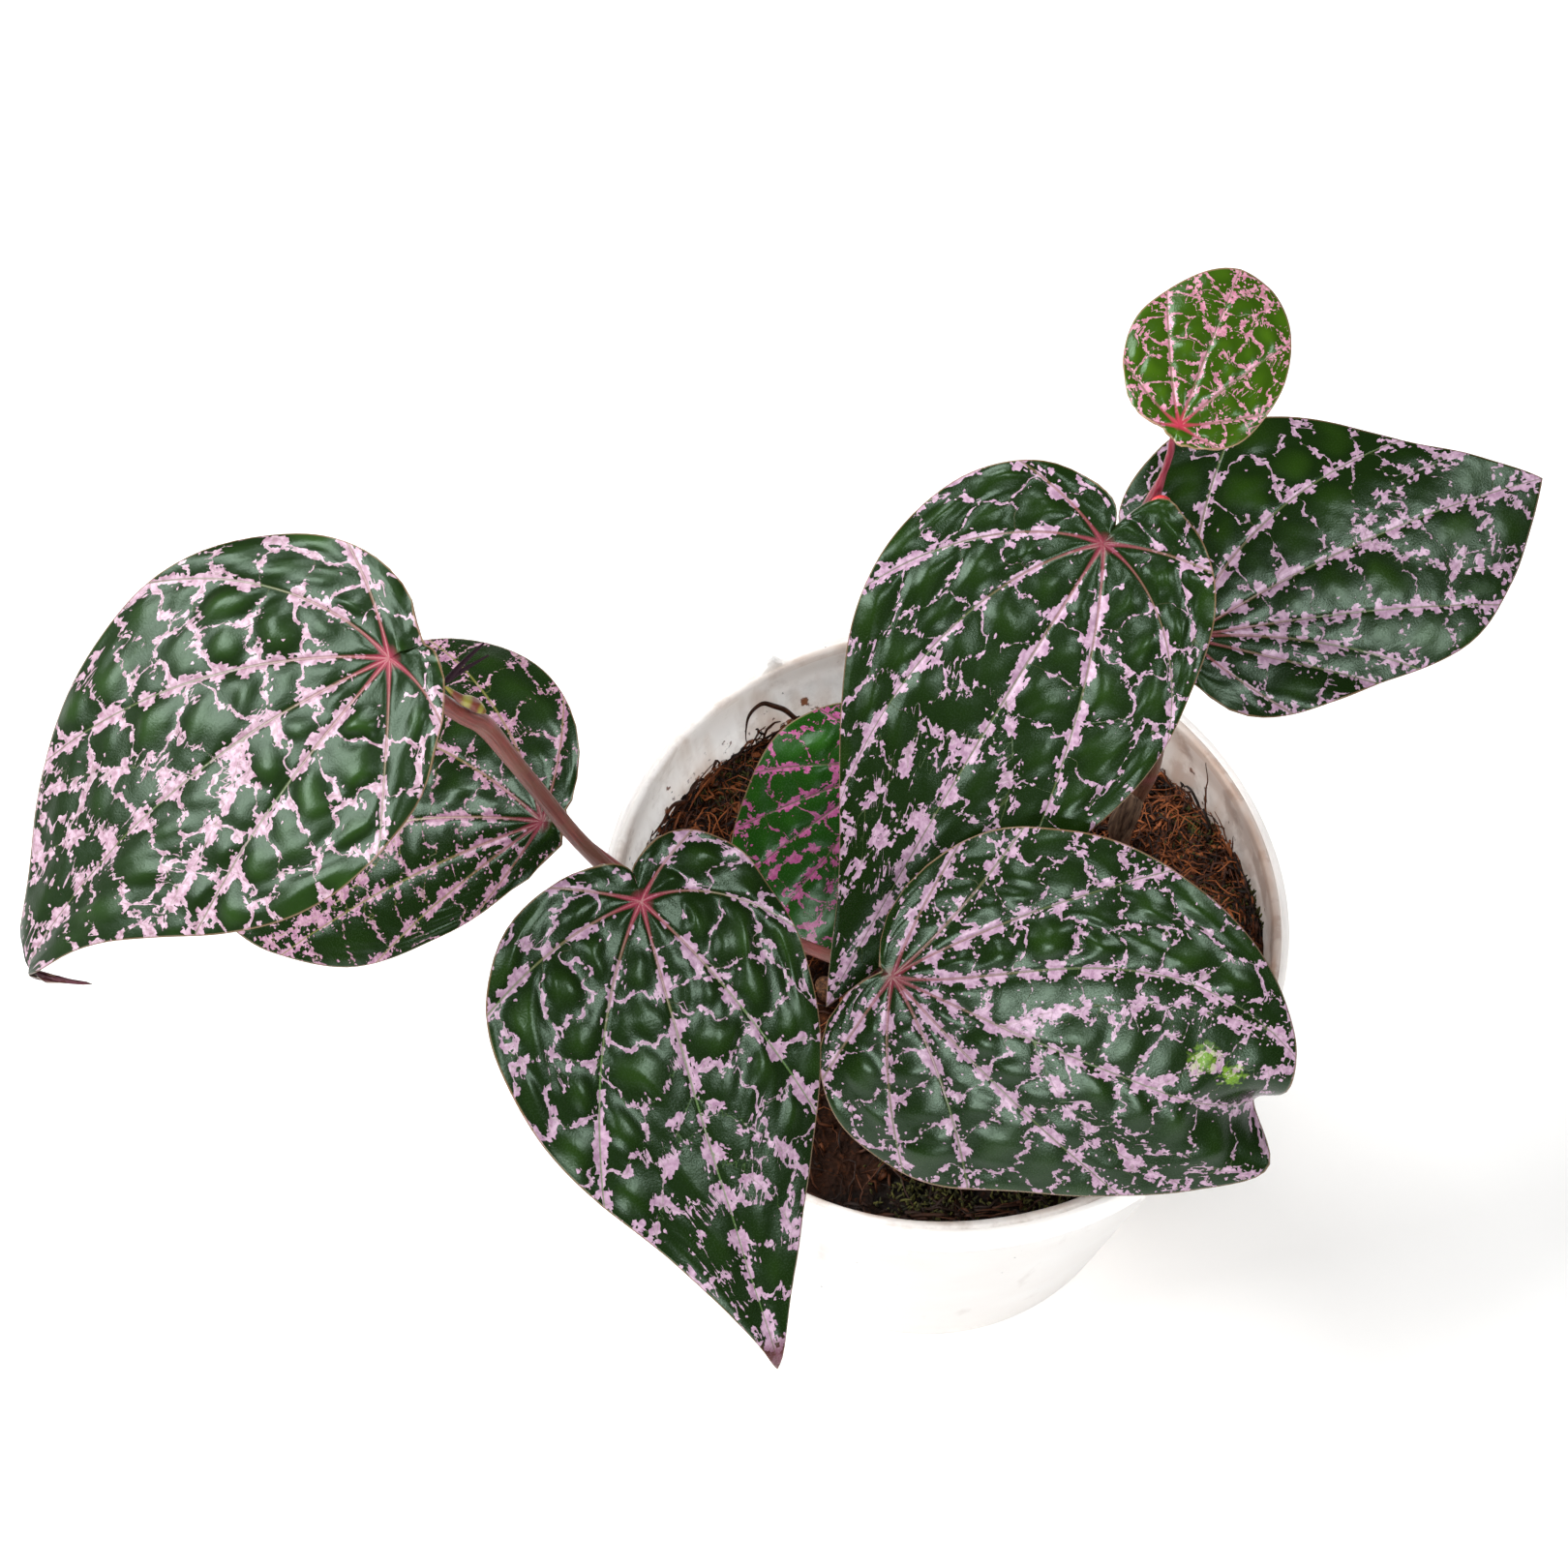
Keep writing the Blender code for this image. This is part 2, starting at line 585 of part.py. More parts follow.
def make_small_pieces(group):
    """The side bud and its dry spurs at the left shoot's last node, and the red sheath on the right one's."""
    bud_green = plain_material("yellow-green bud scales", (0.36, 0.26, 0.06), 0.5)
    spur_dark = plain_material("dry dark bud spurs", (0.03, 0.012, 0.016), 0.7)
    sheath_red = plain_material("red young sheath", (0.55, 0.02, 0.03), 0.4)
    bud = [
        (-90.8, -11.8, 223.6, 0.5),
        (-91.7, -12.7, 226.7, 1.15),
        (-92.6, -13.8, 230.2, 1.25),
        (-94.3, -15, 233.6, 0.9),
        (-96.6, -15.2, 238, 0.4),
    ]
    add_object("side_bud", tube_mesh("side_bud", bud, group), group, bud_green)
    spur_foot = (-96.4, -14.7, 239.1, 0.6)
    long_spur = [spur_foot, (-92.7, -13.4, 243.9, 0.5), (-88.9, -11.6, 247.3, 0.3)]
    short_spur = [spur_foot, (-92.7, -13.2, 241.1, 0.45), (-88.5, -10.8, 241.9, 0.3)]
    spurs = [tube_mesh("long_spur", long_spur, group), tube_mesh("short_spur", short_spur, group)]
    joined("bud_spurs", spurs, group, spur_dark)
    sheath = [
        (37.4, 37.9, 219.6, 0.5),
        (38.4, 38, 221.6, 0.6),
        (39.8, 38.2, 222, 0.55),
        (41.2, 38.4, 220.9, 0.35),
    ]
    add_object("young_sheath", tube_mesh("young_sheath", sheath, group), group, sheath_red)


def make_dead_stub(group):
    """The brown stub of an old shoot beside the left vine's foot."""
    brown = plain_material("dead brown stem", (0.10, 0.045, 0.022), 0.8)
    x, y, radius, foot = STUB_ROOT
    points = [
        (x, y, foot, radius),
        (x, y, foot + 10, radius),
        (x, y, foot + 18, radius),
        (x - 1, y - 1.5, foot + 23, radius * 0.8),
    ]
    add_object("dead_stub", tube_mesh("dead_stub", points, group), group, brown)


def main():
    clear_scene()
    parts = new_collection("potted_red_betel")
    cutters = new_collection("cutters")
    make_pot(parts, cutters)
    make_soil(parts, cutters)
    stem_red = plain_material("red-brown young stem", (0.22, 0.075, 0.055), 0.5)
    make_left_shoot(parts, stem_red)
    make_right_shoot(parts, stem_red)
    make_dead_stub(parts)
    make_small_pieces(parts)
    blade_green = plain_material("glossy dark green blade", (0.020, 0.070, 0.018), 0.35)
    young_green = plain_material("bright green young blade", (0.060, 0.150, 0.015), 0.35)
    for name, form in LEAVES.items():
        make_blade(name, form, parts, young_green if name in ("leaf_young", "leaf_low") else blade_green)


main()
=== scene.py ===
"""The looks of a potted red betel vine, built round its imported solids."""

import math
import random

import bpy
import numpy as np
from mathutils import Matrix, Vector


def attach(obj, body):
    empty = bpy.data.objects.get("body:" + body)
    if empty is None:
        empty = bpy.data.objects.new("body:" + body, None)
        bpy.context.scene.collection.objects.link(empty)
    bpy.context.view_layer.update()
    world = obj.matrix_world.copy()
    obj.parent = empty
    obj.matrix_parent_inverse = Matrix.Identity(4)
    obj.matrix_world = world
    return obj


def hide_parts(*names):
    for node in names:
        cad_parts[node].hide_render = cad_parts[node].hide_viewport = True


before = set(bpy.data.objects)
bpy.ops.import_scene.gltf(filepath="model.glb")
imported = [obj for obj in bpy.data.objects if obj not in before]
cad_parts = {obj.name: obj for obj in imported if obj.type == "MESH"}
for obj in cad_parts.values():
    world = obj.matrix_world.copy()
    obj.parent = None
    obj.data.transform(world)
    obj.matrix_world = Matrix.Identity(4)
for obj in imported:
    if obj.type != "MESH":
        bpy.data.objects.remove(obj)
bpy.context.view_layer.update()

MM = 0.001

# Camera, as the photograph was taken: from the front, 60 degrees down, about 0.7 m from the pot's rim.
# The focal length is in pixels of the square photograph.
PHOTO_PIXELS = 1620
FOCAL_PIXELS = 3325
CAMERA_PLACE = (-0.0345, -0.32575, 0.7402)
CAMERA_TILT = math.radians(30)
SENSOR_WIDTH = 36

bpy.ops.object.camera_add(location=CAMERA_PLACE, rotation=(CAMERA_TILT, 0, 0))
camera = bpy.context.object
camera.name = "camera"
camera.data.sensor_width = SENSOR_WIDTH
camera.data.lens = FOCAL_PIXELS / PHOTO_PIXELS * SENSOR_WIDTH
camera.data.clip_end = 10
scene = bpy.context.scene
scene.camera = camera
scene.view_settings.view_transform = "Standard"

# Daylight in a white room: an even pale surround, and five soft windows behind, left, right, above and in
# front. Their mirror images make the silvery highlights on the leaves, each of which faces another way.
ROOM_COLOUR = "#f4f6f8"
ROOM_STRENGTH = 0.09


def linear(hex_colour):
    """An sRGB hex colour as linear red, green, blue and a full alpha."""
    channels = [int(hex_colour[i : i + 2], 16) / 255 for i in (1, 3, 5)]
    return (*(c / 12.92 if c <= 0.04045 else ((c + 0.055) / 1.055) ** 2.4 for c in channels), 1.0)


def fill_sockets(tree, node, inputs):
    """Links a node's sockets, or sets them to values. A hex colour is turned to linear on its way in."""
    for key, value in inputs.items():
        if isinstance(value, bpy.types.NodeSocket):
            tree.links.new(value, node.inputs[key])
        else:
            node.inputs[key].default_value = linear(value) if isinstance(value, str) else value


surround = bpy.data.worlds.new("white room")
surround.use_nodes = True
air = surround.node_tree.nodes["Background"]
fill_sockets(surround.node_tree, air, {"Color": ROOM_COLOUR, "Strength": ROOM_STRENGTH})
scene.world = surround


def soft_light(name, place, target, size, power):
    """A rectangular lamp of a size in metres and a power in watts, turned to its target."""
    bpy.ops.object.light_add(type="AREA", location=place)
    lamp = bpy.context.object
    lamp.name = name
    lamp.data.shape = "RECTANGLE"
    lamp.data.size = size[0]
    lamp.data.size_y = size[1]
    lamp.data.energy = power
    lamp.rotation_euler = (Vector(target) - Vector(place)).to_track_quat("-Z", "Y").to_euler()


soft_light("back_window", (-0.4, 0.55, 1.3), (0, 0, 0.2), (0.5, 0.4), 10)
soft_light("left_window", (-1.1, -0.08, 1.02), (0, 0, 0.2), (0.85, 0.65), 24)
soft_light("right_window", (0.95, -0.35, 1.15), (0, 0, 0.18), (0.45, 0.4), 8)
soft_light("roof_window", (0.0, -0.5, 1.45), (0, 0, 0.2), (0.3, 0.25), 4)
soft_light("front_fill", (0.05, -1.4, 0.62), (0, 0, 0.08), (0.6, 0.35), 12)

# Floor: a plain pale matt sheet that the pot stands on, a hair lower than the pot's underside, so that
# the two faces are never one.
FLOOR_SIDE = 6.0
FLOOR_LEVEL = -0.2 * MM


def new_material(name):
    """A material, its node tree and its shader."""
    material = bpy.data.materials.new(name)
    material.use_nodes = True
    return material, material.node_tree, material.node_tree.nodes["Principled BSDF"]


bpy.ops.mesh.primitive_plane_add(size=FLOOR_SIDE, location=(0, 0, FLOOR_LEVEL))
floor = bpy.context.object
floor.name = "floor"
floor_paint, tree, shader = new_material("pale matt floor")
fill_sockets(tree, shader, {"Base Color": "#f7f7f6", "Roughness": 0.9})
floor.data.materials.append(floor_paint)

# Pot: a thin white polypropylene nursery pot, injection moulded, with a flat grooved rim, a skirt under it
# and four drain holes. It is turned here from a finer profile than the solid's, and its rim waves a little.
POT_HEIGHT = 120 * MM
RIM_RADIUS = 75 * MM
RIM_WIDTH = 3.4 * MM
RIM_SKIRT = 9 * MM
RIM_STEP = 2.3 * MM
BASE_RADIUS = 52 * MM
WALL = 1.5 * MM
POT_FLOOR = 2 * MM
LIP_ROUNDING = 0.8 * MM
GROOVE_MIDDLE = 1.6 * MM
GROOVE_HALF = 0.5 * MM
GROOVE_DEPTH = 0.5 * MM
SKIRT_ROUNDING = 0.4 * MM
STEP_ROUNDING = 0.5 * MM
FOOT_ROUNDING = MM
FLOOR_ROUNDING = 2 * MM
WALL_RINGS = range(16, 104, 12)
DRAIN_RADIUS = 4 * MM
DRAIN_CIRCLE = 33 * MM
POT_STEPS = 240
NUB_TURN = math.radians(120.7)
NUB_HALF = 1.5 * MM
NUB_HEIGHT = 3.2 * MM
NUB_DEPTH = 2.6 * MM
WAVY_FROM = 0.6
RIM_WAVES = ((0.25 * MM, 3, 0.7), (0.15 * MM, 7, 2))


def wall_radius(height):
    """Radius of the wall's outside at a height, in metres."""
    below_rim = RIM_RADIUS - RIM_STEP
    return BASE_RADIUS + (below_rim - BASE_RADIUS) * height / (POT_HEIGHT - RIM_SKIRT)


def rounded(corner_from, corner, corner_to, steps=4):
    """Points of a rounded corner between two points, bent towards the corner."""
    points = []
    for step in range(steps + 1):
        t = step / steps
        points.append(
            tuple(
                (1 - t) ** 2 * a + 2 * t * (1 - t) * b + t**2 * c
                for a, b, c in zip(corner_from, corner, corner_to)
            )
        )
    return points


def pot_profile():
    """Half of the pot's section as (radius, height), from inside its floor over the rim to its underside."""
    skirt = POT_HEIGHT - RIM_SKIRT
    top = POT_HEIGHT
    inner = RIM_RADIUS - RIM_WIDTH
    soft = LIP_ROUNDING
    groove = RIM_RADIUS - GROOVE_MIDDLE
    corner = POT_FLOOR + FLOOR_ROUNDING
    points = [(0.0, POT_FLOOR)]
    points += rounded(
        (wall_radius(corner) - WALL - FLOOR_ROUNDING, POT_FLOOR),
        (wall_radius(POT_FLOOR) - WALL, POT_FLOOR),
        (wall_radius(corner) - WALL, corner),
    )
    points += [(wall_radius(h * MM) - WALL, h * MM) for h in WALL_RINGS]
    points.append((wall_radius(skirt) - WALL, skirt))
    points += rounded((inner - 0.1 * MM, top - soft), (inner, top), (inner + soft, top))
    points.append((groove - GROOVE_HALF - 0.1 * MM, top))
    points += rounded(
        (groove - GROOVE_HALF, top), (groove, top - 2 * GROOVE_DEPTH), (groove + GROOVE_HALF, top), 6
    )
    points += rounded((RIM_RADIUS - 0.7 * soft, top), (RIM_RADIUS, top), (RIM_RADIUS, top - 0.7 * soft))
    points += rounded(
        (RIM_RADIUS, skirt + SKIRT_ROUNDING), (RIM_RADIUS, skirt), (RIM_RADIUS - SKIRT_ROUNDING, skirt)
    )
    points += rounded(
        (wall_radius(skirt) + STEP_ROUNDING, skirt),
        (wall_radius(skirt), skirt),
        (wall_radius(skirt), skirt - STEP_ROUNDING),
    )
    points += [(wall_radius(h * MM), h * MM) for h in reversed(WALL_RINGS)]
    points += rounded(
        (wall_radius(FOOT_ROUNDING), FOOT_ROUNDING),
        (wall_radius(0), 0.0),
        (wall_radius(0) - FOOT_ROUNDING, 0.0),
    )
    points.append((0.0, 0.0))
    return points


def turned_piece(name, profile, steps):
    """A closed piece spun about the upright axis from (radius, height) points."""
    bpy.ops.object.select_all(action="DESELECT")
    mesh = bpy.data.meshes.new(name)
    line = [(radius, 0.0, height) for radius, height in profile]
    mesh.from_pydata(line, [(i, i + 1) for i in range(len(line) - 1)], [])
    piece = bpy.data.objects.new(name, mesh)
    scene.collection.objects.link(piece)
    bpy.context.view_layer.objects.active = piece
    piece.select_set(True)
    bpy.ops.object.mode_set(mode="EDIT")
    bpy.ops.mesh.select_all(action="SELECT")
    bpy.ops.mesh.spin(steps=steps, angle=2 * math.pi, center=(0, 0, 0), axis=(0, 0, 1))
    bpy.ops.mesh.select_all(action="SELECT")
    bpy.ops.mesh.remove_doubles(threshold=0.00001)
    bpy.ops.mesh.normals_make_consistent(inside=False)
    bpy.ops.object.mode_set(mode="OBJECT")
    return piece


def cut_hole(piece, place, radius, depth):
    """Cuts an upright round hole through the piece."""
    bpy.ops.object.select_all(action="DESELECT")
    bpy.ops.mesh.primitive_cylinder_add(vertices=48, radius=radius, depth=depth, location=place)
    cutter = bpy.context.object
    bpy.context.view_layer.objects.active = piece
    cut = piece.modifiers.new("hole", "BOOLEAN")
    cut.operation = "DIFFERENCE"
    cut.solver = "EXACT"
    cut.object = cutter
    bpy.ops.object.modifier_apply(modifier="hole")
    bpy.data.objects.remove(cutter, do_unlink=True)


pot = turned_piece("pot_shell", pot_profile(), POT_STEPS)
for index in range(4):
    angle = math.radians(45 + 90 * index)
    hole_place = (DRAIN_CIRCLE * math.cos(angle), DRAIN_CIRCLE * math.sin(angle), POT_FLOOR / 2)
    cut_hole(pot, hole_place, DRAIN_RADIUS, 4 * POT_FLOOR)
for vertex in pot.data.vertices:
    turn = math.atan2(vertex.co.y, vertex.co.x)
    near_rim = max(0.0, vertex.co.z / POT_HEIGHT - WAVY_FROM) / (1 - WAVY_FROM)
    wave = sum(height * math.sin(count * turn + phase) for height, count, phase in RIM_WAVES)
    flat = math.hypot(vertex.co.x, vertex.co.y)
    if flat > 0.5 * BASE_RADIUS:
        vertex.co.x *= 1 + near_rim * wave / flat
        vertex.co.y *= 1 + near_rim * wave / flat
    along = (turn - NUB_TURN) * flat
    if flat > RIM_RADIUS - NUB_DEPTH and vertex.co.z > POT_HEIGHT - 4 * MM:
        nub = NUB_HEIGHT * math.exp(-((along / NUB_HALF) ** 4))
        vertex.co.z += nub * min(1.0, (flat - RIM_RADIUS + NUB_DEPTH) / MM)
bpy.ops.object.select_all(action="DESELECT")
pot.select_set(True)
bpy.context.view_layer.objects.active = pot
bpy.ops.object.shade_smooth_by_angle(angle=math.radians(40))

# Injection-moulded white polypropylene: satin, faintly pink-grey, and inside it a brown tide line of old
# watering, running stains 8 mm wide, smudges of 9 mm, and crumbs of peat up to 3 mm that stick to the wall
# above the soil. Dirt also sits in the corner where the wall meets the rim.
STAIN_LEVELS = (96 * MM, 121 * MM)
RIM_DIRT_FROM = 117.5 * MM
RIM_DIRT_RADIUS = RIM_RADIUS - RIM_WIDTH + 0.5 * MM
DULL_SIDE = (10 * MM, 60 * MM)


def add_node(tree, kind, inputs=(), output=0, **settings):
    """Adds a node with its settings and links, and gives one of its outputs, or all of them for None.
    Inputs in a tuple fill the sockets in order, so those of a MapRange are the value, where it starts and
    ends, and what these two become."""
    node = tree.nodes.new("ShaderNode" + kind)
    for key, value in settings.items():
        setattr(node, key, value)
    fill_sockets(tree, node, inputs if isinstance(inputs, dict) else dict(enumerate(inputs)))
    return node.outputs[:] if output is None else node.outputs[output]


pot_plastic, tree, shader = new_material("white moulded polypropylene")
place = add_node(tree, "TexCoord", output="Object")
x, y, z = add_node(tree, "SeparateXYZ", (place,), output=None)
long_stains = add_node(tree, "Mapping", {"Vector": place, "Scale": (120, 120, 22)}, vector_type="POINT")
runs = add_node(tree, "TexNoise", {"Vector": long_stains, "Scale": 1.0, "Detail": 5.0})
cloud = add_node(tree, "TexNoise", {"Vector": place, "Scale": 45.0, "Detail": 4.0})
specks = add_node(tree, "TexNoise", {"Vector": place, "Scale": 340.0, "Detail": 3.0})
smudges = add_node(tree, "TexNoise", {"Vector": place, "Scale": 110.0, "Detail": 5.0, "Roughness": 0.65})
x_squared = add_node(tree, "Math", (x, x), operation="MULTIPLY")
y_squared = add_node(tree, "Math", (y, y), operation="MULTIPLY")
radius_squared = add_node(tree, "Math", (x_squared, y_squared), operation="ADD")
radius = add_node(tree, "Math", (radius_squared,), operation="SQRT")
flare = (RIM_RADIUS - RIM_STEP - BASE_RADIUS) / (POT_HEIGHT - RIM_SKIRT)
wall_middle = add_node(tree, "Math", (z, flare, BASE_RADIUS - WALL / 2), operation="MULTIPLY_ADD")
inside = add_node(tree, "Math", (radius, wall_middle), operation="LESS_THAN")
above_soil = add_node(tree, "MapRange", (z, *STAIN_LEVELS, 1.0, 0.0))
wet = add_node(tree, "Math", (above_soil, inside), operation="MULTIPLY")
stain_amount = add_node(tree, "Math", (wet, 0.42, -0.36), operation="MULTIPLY_ADD")
stain_noise = add_node(tree, "Math", (stain_amount, runs), operation="ADD")
stain = add_node(tree, "MapRange", (stain_noise, 0.28, 0.62, 0.0, 0.8))
speck_amount = add_node(tree, "Math", (wet, 0.20, specks), operation="MULTIPLY_ADD")
speck = add_node(tree, "MapRange", (speck_amount, 0.75, 0.80))
rim_inside = add_node(tree, "Math", (radius, RIM_DIRT_RADIUS), operation="SUBTRACT")
rim_inside = add_node(tree, "Math", (rim_inside,), operation="ABSOLUTE")
rim_line = add_node(tree, "MapRange", (rim_inside, 0.2 * MM, 0.9 * MM, 0.6, 0.0))
rim_high = add_node(tree, "Math", (z, RIM_DIRT_FROM), operation="GREATER_THAN")
rim_grime = add_node(tree, "MapRange", (cloud, 0.42, 0.6, 0.0, 1.0))
for share in (rim_high, rim_grime):
    rim_line = add_node(tree, "Math", (rim_line, share), operation="MULTIPLY")
stain = add_node(tree, "Math", (stain, rim_line), operation="MAXIMUM")
smudges_and_right_grey = add_node(tree, "MapRange", (smudges, 0.5, 0.68, 0.0, 0.5))
# besides the smudges, the inside of the wall turns evenly greyer towards the right, at every height
right_side = add_node(tree, "MapRange", (x, *DULL_SIDE, 0.0, 0.75))
smudges_and_right_grey = add_node(tree, "Math", (smudges_and_right_grey, right_side), operation="ADD")
smudges_and_right_grey = add_node(tree, "Math", (smudges_and_right_grey, inside), operation="MULTIPLY")
plastic = add_node(tree, "Mix", {0: cloud, 6: "#f9f3ee", 7: "#eee2da"}, output=2, data_type="RGBA")
for share, dirt in ((smudges_and_right_grey, "#a3938a"), (stain, "#977660"), (speck, "#3a1f12")):
    plastic = add_node(tree, "Mix", {0: share, 6: plastic, 7: dirt}, output=2, data_type="RGBA")
plastic_bump = add_node(tree, "Bump", {"Strength": 0.15, "Distance": 0.0002, "Height": specks})
fill_sockets(tree, shader, {
    "Base Color": plastic, "Normal": plastic_bump, "Roughness": 0.42, "IOR": 1.49,
    "Subsurface Weight": 0.85, "Subsurface Radius": (1.0, 1.0, 1.0), "Subsurface Scale": 12 * MM,
})
pot.data.materials.append(pot_plastic)
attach(pot, "root")
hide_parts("pot")

# Soil: a root ball of coconut fibre and dark humus, heaped by hand and settled by watering. Its top dips
# at the back and rises at the right, as the solid's does, and is roughened here with crumbs and pits.
SOIL_LEVEL = 105 * MM
SOIL_BACK_DROP = 11 * MM
SOIL_RIGHT_RISE = 7 * MM
SOIL_LUMPS = 46
SOIL_LUMP_FIELD = 66 * MM
SOIL_LUMP_HEIGHT = 2.6 * MM
SOIL_LUMP_SPREAD = 7 * MM
SOIL_SEED = 7
SOIL_GAP = 0.3 * MM
SOIL_SIDE = (60 * MM, 5 * MM)
SOIL_FOOT = 2.3 * MM
SOIL_FOOT_BEVEL = 3 * MM
SOIL_RINGS = 120
SOIL_SPOKES = 300
CRUMB_HEIGHT = 1.1 * MM
CRUMB_SPREAD = 9 * MM
CRUMB_SINK = 0.6 * MM
HOLE_DIP = 1.5 * MM
# The holes that the stems and the stub stand in, as (x, y, radius) in mm. The soil dips at each.
STEM_HOLES = ((-40.5, -12, 2.15), (41, 25.5, 2.45), (-25, -11, 2.4))


def soil_lumps():
    """The clods and dips of the solid's top, from the same seed."""
    draw = random.Random(SOIL_SEED)
    lumps = []
    for _ in range(SOIL_LUMPS):
        angle = draw.uniform(0, 2 * math.pi)
        distance = SOIL_LUMP_FIELD * math.sqrt(draw.random())
        rise = draw.uniform(-0.7, 1.0) * SOIL_LUMP_HEIGHT
        spread = draw.uniform(0.7, 1.3) * SOIL_LUMP_SPREAD
        lumps.append((distance * math.cos(angle), distance * math.sin(angle), rise, spread))
    return np.array(lumps)


LUMPS = soil_lumps()


def soil_height(x, y):
    """Height of the soil's top at arrays of places, in metres."""
    x = np.asarray(x, float)
    y = np.asarray(y, float)
    back = np.maximum(0.0, y / RIM_RADIUS)
    right = np.maximum(0.0, x / RIM_RADIUS) * np.maximum(0.0, 1 - 1.2 * back)
    height = SOIL_LEVEL - SOIL_BACK_DROP * back**1.5 + SOIL_RIGHT_RISE * right**1.5
    for lump_x, lump_y, rise, spread in LUMPS:
        height = height + rise * np.exp(-((x - lump_x) ** 2 + (y - lump_y) ** 2) / spread**2)
    return height


def smooth_noise(x, y, size, seed, octaves=3):
    """Smooth noise between -1 and 1, as sums of waves whose longest is size across."""
    draw = np.random.default_rng(seed)
    total = np.zeros_like(x)
    strength = 1.0
    reach = 0.0
    for _ in range(octaves):
        for _ in range(5):
            angle = draw.uniform(0, 2 * math.pi)
            phase = draw.uniform(0, 2 * math.pi)
            pace = 2 * math.pi / size * draw.uniform(0.7, 1.3)
            total += strength * np.sin(pace * (x * math.cos(angle) + y * math.sin(angle)) + phase)
        reach += strength * 2.2
        strength *= 0.55
        size *= 0.5
    return total / reach


def rough_height(x, y):
    """The soil's top with crumbs and pits, kept a little under the solid's near the wall."""
    rough = CRUMB_HEIGHT * smooth_noise(x, y, CRUMB_SPREAD, 3, 4) - CRUMB_SINK
    return soil_height(x, y) + rough


soil_edge = wall_radius(SOIL_LEVEL) - WALL - SOIL_GAP
profile = [(soil_edge * ring / SOIL_RINGS, SOIL_LEVEL) for ring in range(SOIL_RINGS + 1)]
profile += [(wall_radius(level) - WALL - SOIL_GAP, level) for level in SOIL_SIDE]
profile += [(wall_radius(SOIL_FOOT) - WALL - SOIL_GAP - SOIL_FOOT_BEVEL, SOIL_FOOT), (0.0, SOIL_FOOT)]
soil = turned_piece("soil_ball", profile, SOIL_SPOKES)
points = np.empty(len(soil.data.vertices) * 3)
soil.data.vertices.foreach_get("co", points)
points = points.reshape(-1, 3)
top = points[:, 2] > SOIL_LEVEL - MM
x, y = points[top, 0], points[top, 1]
height = rough_height(x, y)
flat = np.hypot(x, y)
rim = flat > soil_edge - 0.3 * MM
scale = np.where(rim, (wall_radius(height) - WALL - SOIL_GAP) / np.maximum(flat, MM), 1.0)
points[top, 0] *= scale
points[top, 1] *= scale
for hole_x, hole_y, hole_radius in STEM_HOLES:
    away = np.hypot(x - hole_x * MM, y - hole_y * MM)
    height = height - HOLE_DIP * np.exp(-((away / (hole_radius * MM + HOLE_DIP)) ** 4))
points[top, 2] = height
soil.data.vertices.foreach_set("co", points.ravel())
soil.data.update()
soil.data.shade_smooth()

# Damp humus and coir dust: nearly black where wet, warm brown where fibre lies near the top, and darkened
# towards the front by painted shade. Its clumps are 8 mm across, and its crumbs and dust a little over 1 mm.
FRONT_SHADE_SPAN = (-60 * MM, -30 * MM)

humus, tree, shader = new_material("damp humus with coir dust")
place = add_node(tree, "TexCoord", output="Object")
clumps = add_node(tree, "TexNoise", {"Vector": place, "Scale": 130.0, "Detail": 6.0})
crumbs = add_node(tree, "TexVoronoi", {"Vector": place, "Scale": 700.0}, output="Distance")
dust = add_node(tree, "TexNoise", {"Vector": place, "Scale": 900.0, "Detail": 4.0})
shade = add_node(tree, "MapRange", (clumps, 0.38, 0.66))
ground = add_node(tree, "Mix", {0: shade, 6: "#120a06", 7: "#4a2713"}, output=2, data_type="RGBA")
grain = add_node(tree, "MapRange", (dust, 0.55, 0.72, 0.0, 0.7))
# painted shade: the humus darkens towards the front
front = add_node(tree, "SeparateXYZ", (place,), output=1)
damp = add_node(tree, "MapRange", (front, *FRONT_SHADE_SPAN, 0.75, 0.0))
for share, tone in ((grain, "#7a4320"), (damp, "#0d0805")):
    ground = add_node(tree, "Mix", {0: share, 6: ground, 7: tone}, output=2, data_type="RGBA")
heights = add_node(tree, "Math", (crumbs, dust), operation="ADD")
soil_bump = add_node(tree, "Bump", {"Strength": 0.9, "Distance": 0.0009, "Height": heights})
fill_sockets(tree, shader, {
    "Base Color": ground, "Normal": soil_bump, "Roughness": 0.85, "Specular IOR Level": 0.2,
})
soil.data.materials.append(humus)
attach(soil, "root")
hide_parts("soil")

# Fibre: curled strands of coconut husk, a fifth of a millimetre to a millimetre thick and flattened, with
# crumbs of husk among them, pressed into the top of the soil. They lie thickest at the right and the back.
FIBRE_SIDES = 4
FIBRE_STEPS = 7


